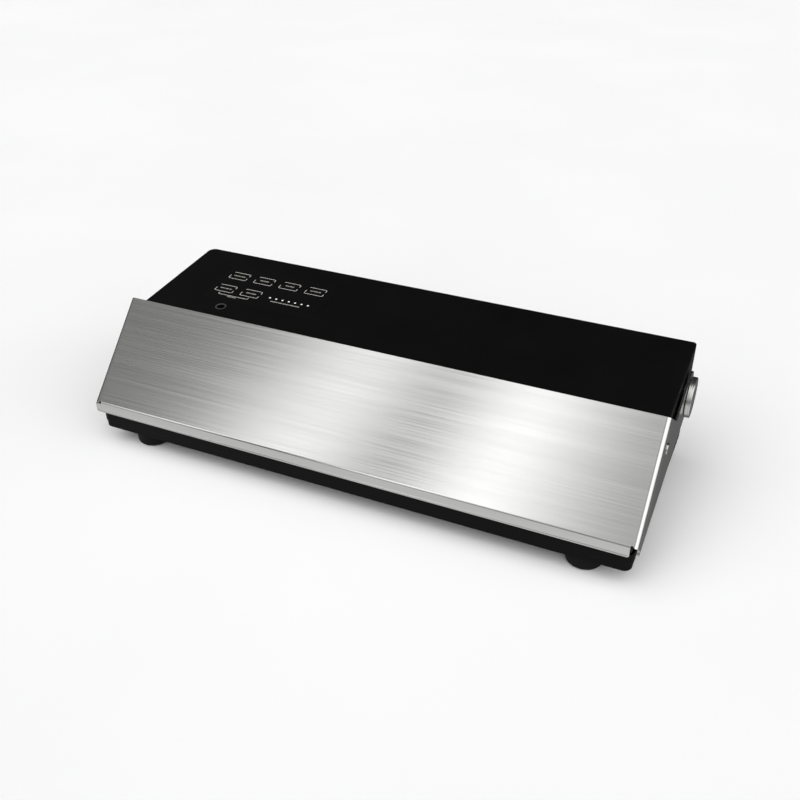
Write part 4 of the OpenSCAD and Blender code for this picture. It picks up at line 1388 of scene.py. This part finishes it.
@dataclass
class Surroundings(Tree):
    """Graded surroundings: tall soft strips to the front left, a white wall on the right."""

    tree: bpy.types.NodeTree
    top: float = 3.0
    blend_height: float = 0.15
    horizon_level: float = 0.15
    horizon_band: tuple[float, float] = (0.08, 0.32)
    upper: tuple[tuple[float, float], ...] = (
        (-180, 0.03), (-120, 0.05), (-115, 1.5), (-45, 1.8), (-10, 0.4), (10, 0.6), (16, 1.2), (21, 2.1),
        (25, 1.4), (28, 0.1), (30, 0.1), (34, 2.2), (38, 1.6), (43, 0.25), (90, 0.3), (150, 0.03),
        (180, 0.03))
    lower: tuple[tuple[float, float], ...] = (
        (-180, 0.12), (-140, 0.2), (-90, 0.4), (-50, 0.8), (60, 0.7), (100, 0.3), (180, 0.12))

    def ramp(self, turn: bpy.types.NodeSocket, stops: Sequence[tuple[float, float]]) -> bpy.types.NodeSocket:
        """Returns the radiance round the horizon from stops of (degrees left of the front, radiance)."""
        ramp = self.add("ShaderNodeValToRGB")
        points = ramp.color_ramp.elements
        for degrees, _ in stops[2:]:
            points.new((degrees + 180) / 360)
        for point, (degrees, value) in zip(points, sorted(stops)):
            point.position = (degrees + 180) / 360
            level = value / self.top
            point.color = (level, level, level, 1)
        self.link(turn, ramp.inputs["Fac"])
        return ramp.outputs["Color"]

    def background(self, strength: float) -> bpy.types.Node:
        """Adds a white background shader."""
        node = self.add("ShaderNodeBackground")
        node.inputs["Color"].default_value = (1, 1, 1, 1)
        node.inputs["Strength"].default_value = strength
        return node

    def build(self) -> None:
        """Builds the world's tree."""
        self.tree.nodes.clear()
        place = self.add("ShaderNodeTexCoord")
        split = self.add("ShaderNodeSeparateXYZ")
        self.link(place.outputs["Generated"], split.inputs["Vector"])
        flip = [self.add("ShaderNodeMath", operation="MULTIPLY") for _ in "xy"]
        for node, axis in zip(flip, "XY"):
            self.link(split.outputs[axis], node.inputs[0])
            node.inputs[1].default_value = -1.0
        angle = self.add("ShaderNodeMath", operation="ARCTAN2")
        self.link(flip[0].outputs[0], angle.inputs[0])
        self.link(flip[1].outputs[0], angle.inputs[1])
        turn = self.spread(angle.outputs[0], 0, 1, -math.pi, math.pi)
        rise = self.spread(split.outputs["Z"], 0, 1, -self.blend_height, self.blend_height)
        blend = self.add("ShaderNodeMix", data_type="RGBA")
        self.link(rise, blend.inputs["Factor"])
        self.link(self.ramp(turn, self.lower), blend.inputs["A"])
        self.link(self.ramp(turn, self.upper), blend.inputs["B"])
        level = self.add("ShaderNodeMath", operation="ABSOLUTE")
        self.link(split.outputs["Z"], level.inputs[0])
        horizon = self.spread(level.outputs[0], self.horizon_level, 1, *self.horizon_band)
        dimmed = self.add("ShaderNodeMix", data_type="RGBA", blend_type="MULTIPLY")
        dimmed.inputs["Factor"].default_value = 1.0
        self.link(blend.outputs["Result"], dimmed.inputs["A"])
        self.link(horizon, dimmed.inputs["B"])
        graded = self.background(self.top)
        self.link(dimmed.outputs["Result"], graded.inputs["Color"])
        rays = self.add("ShaderNodeLightPath")
        seen = self.add("ShaderNodeMixShader")
        self.link(rays.outputs["Is Camera Ray"], seen.inputs["Fac"])
        self.link(graded.outputs[0], seen.inputs[1])
        self.link(self.background(1.0).outputs[0], seen.inputs[2])
        output = self.add("ShaderNodeOutputWorld")
        self.link(seen.outputs[0], output.inputs["Surface"])


@dataclass
class Studio:
    """Camera, pale floor, graded surroundings and one soft light from above."""

    camera_place: tuple[float, float, float] = (0.2474, -0.5307, 0.4132)
    yaw: float = 24.15
    pitch: float = 32.51
    lens: float = 43.3
    shift: tuple[float, float] = (0.0, 0.0015)

    def build_camera(self) -> None:
        """Adds the camera and makes it the scene's own."""
        camera = bpy.data.cameras.new("camera")
        camera.lens = self.lens
        camera.sensor_width = 36
        camera.shift_x, camera.shift_y = self.shift
        camera.clip_start = 0.01
        obj = new_object("camera", camera)
        tilt = Matrix.Rotation(math.radians(90 - self.pitch), 4, "X")
        turn = Matrix.Rotation(math.radians(self.yaw), 4, "Z") @ tilt
        obj.matrix_world = Matrix.Translation(self.camera_place) @ turn
        bpy.context.scene.camera = obj
        bpy.context.scene.view_settings.view_transform = "Standard"

    def build_floor(self) -> None:
        """Adds the pale floor, which isn't part of the sealer."""
        reach = 6.0
        corners = [(-reach, -reach, 0), (reach, -reach, 0), (reach, reach, 0), (-reach, reach, 0)]
        floor = mesh_object("floor", corners, [(0, 1, 2, 3)])
        nodes = Nodes("floor")
        cloud = nodes.noise((1, 1, 1), 3.0, 3.0)
        nodes.shade(nodes.spread(cloud, 0, 1), (0.9, 0.9, 0.9), (0.93, 0.93, 0.93))
        nodes.set(Roughness=0.9, Specular_IOR_Level=0.0)
        floor.data.materials.append(nodes.material)
        floor.visible_glossy = False

    def build_world(self) -> None:
        """Sets plain white behind the sealer and the graded surroundings that the metal reflects."""
        world = bpy.data.worlds.new("studio")
        bpy.context.scene.world = world
        world.use_nodes = True
        Surroundings(world.node_tree).build()

    def build(self) -> None:
        """Sets up the studio."""
        self.build_camera()
        self.build_floor()
        self.build_world()
        SoftKey().build()


def main() -> None:
    logging.basicConfig(level=logging.INFO, format="%(message)s")
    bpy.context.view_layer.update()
    Studio().build()
    layout = Layout()
    repeater = Repeater()
    LidCover(layout).build()
    PivotCaps(layout).build()
    Housing(layout).build()
    Controls(layout, repeater).build()
    Feet(layout, repeater).build()
    for body, jobs in INNER.items():
        for job in jobs:
            finished_copy(job.node + "_finished", job.node, body.value, job.slot, job.width, job.look)


if __name__ == "__main__":
    main()
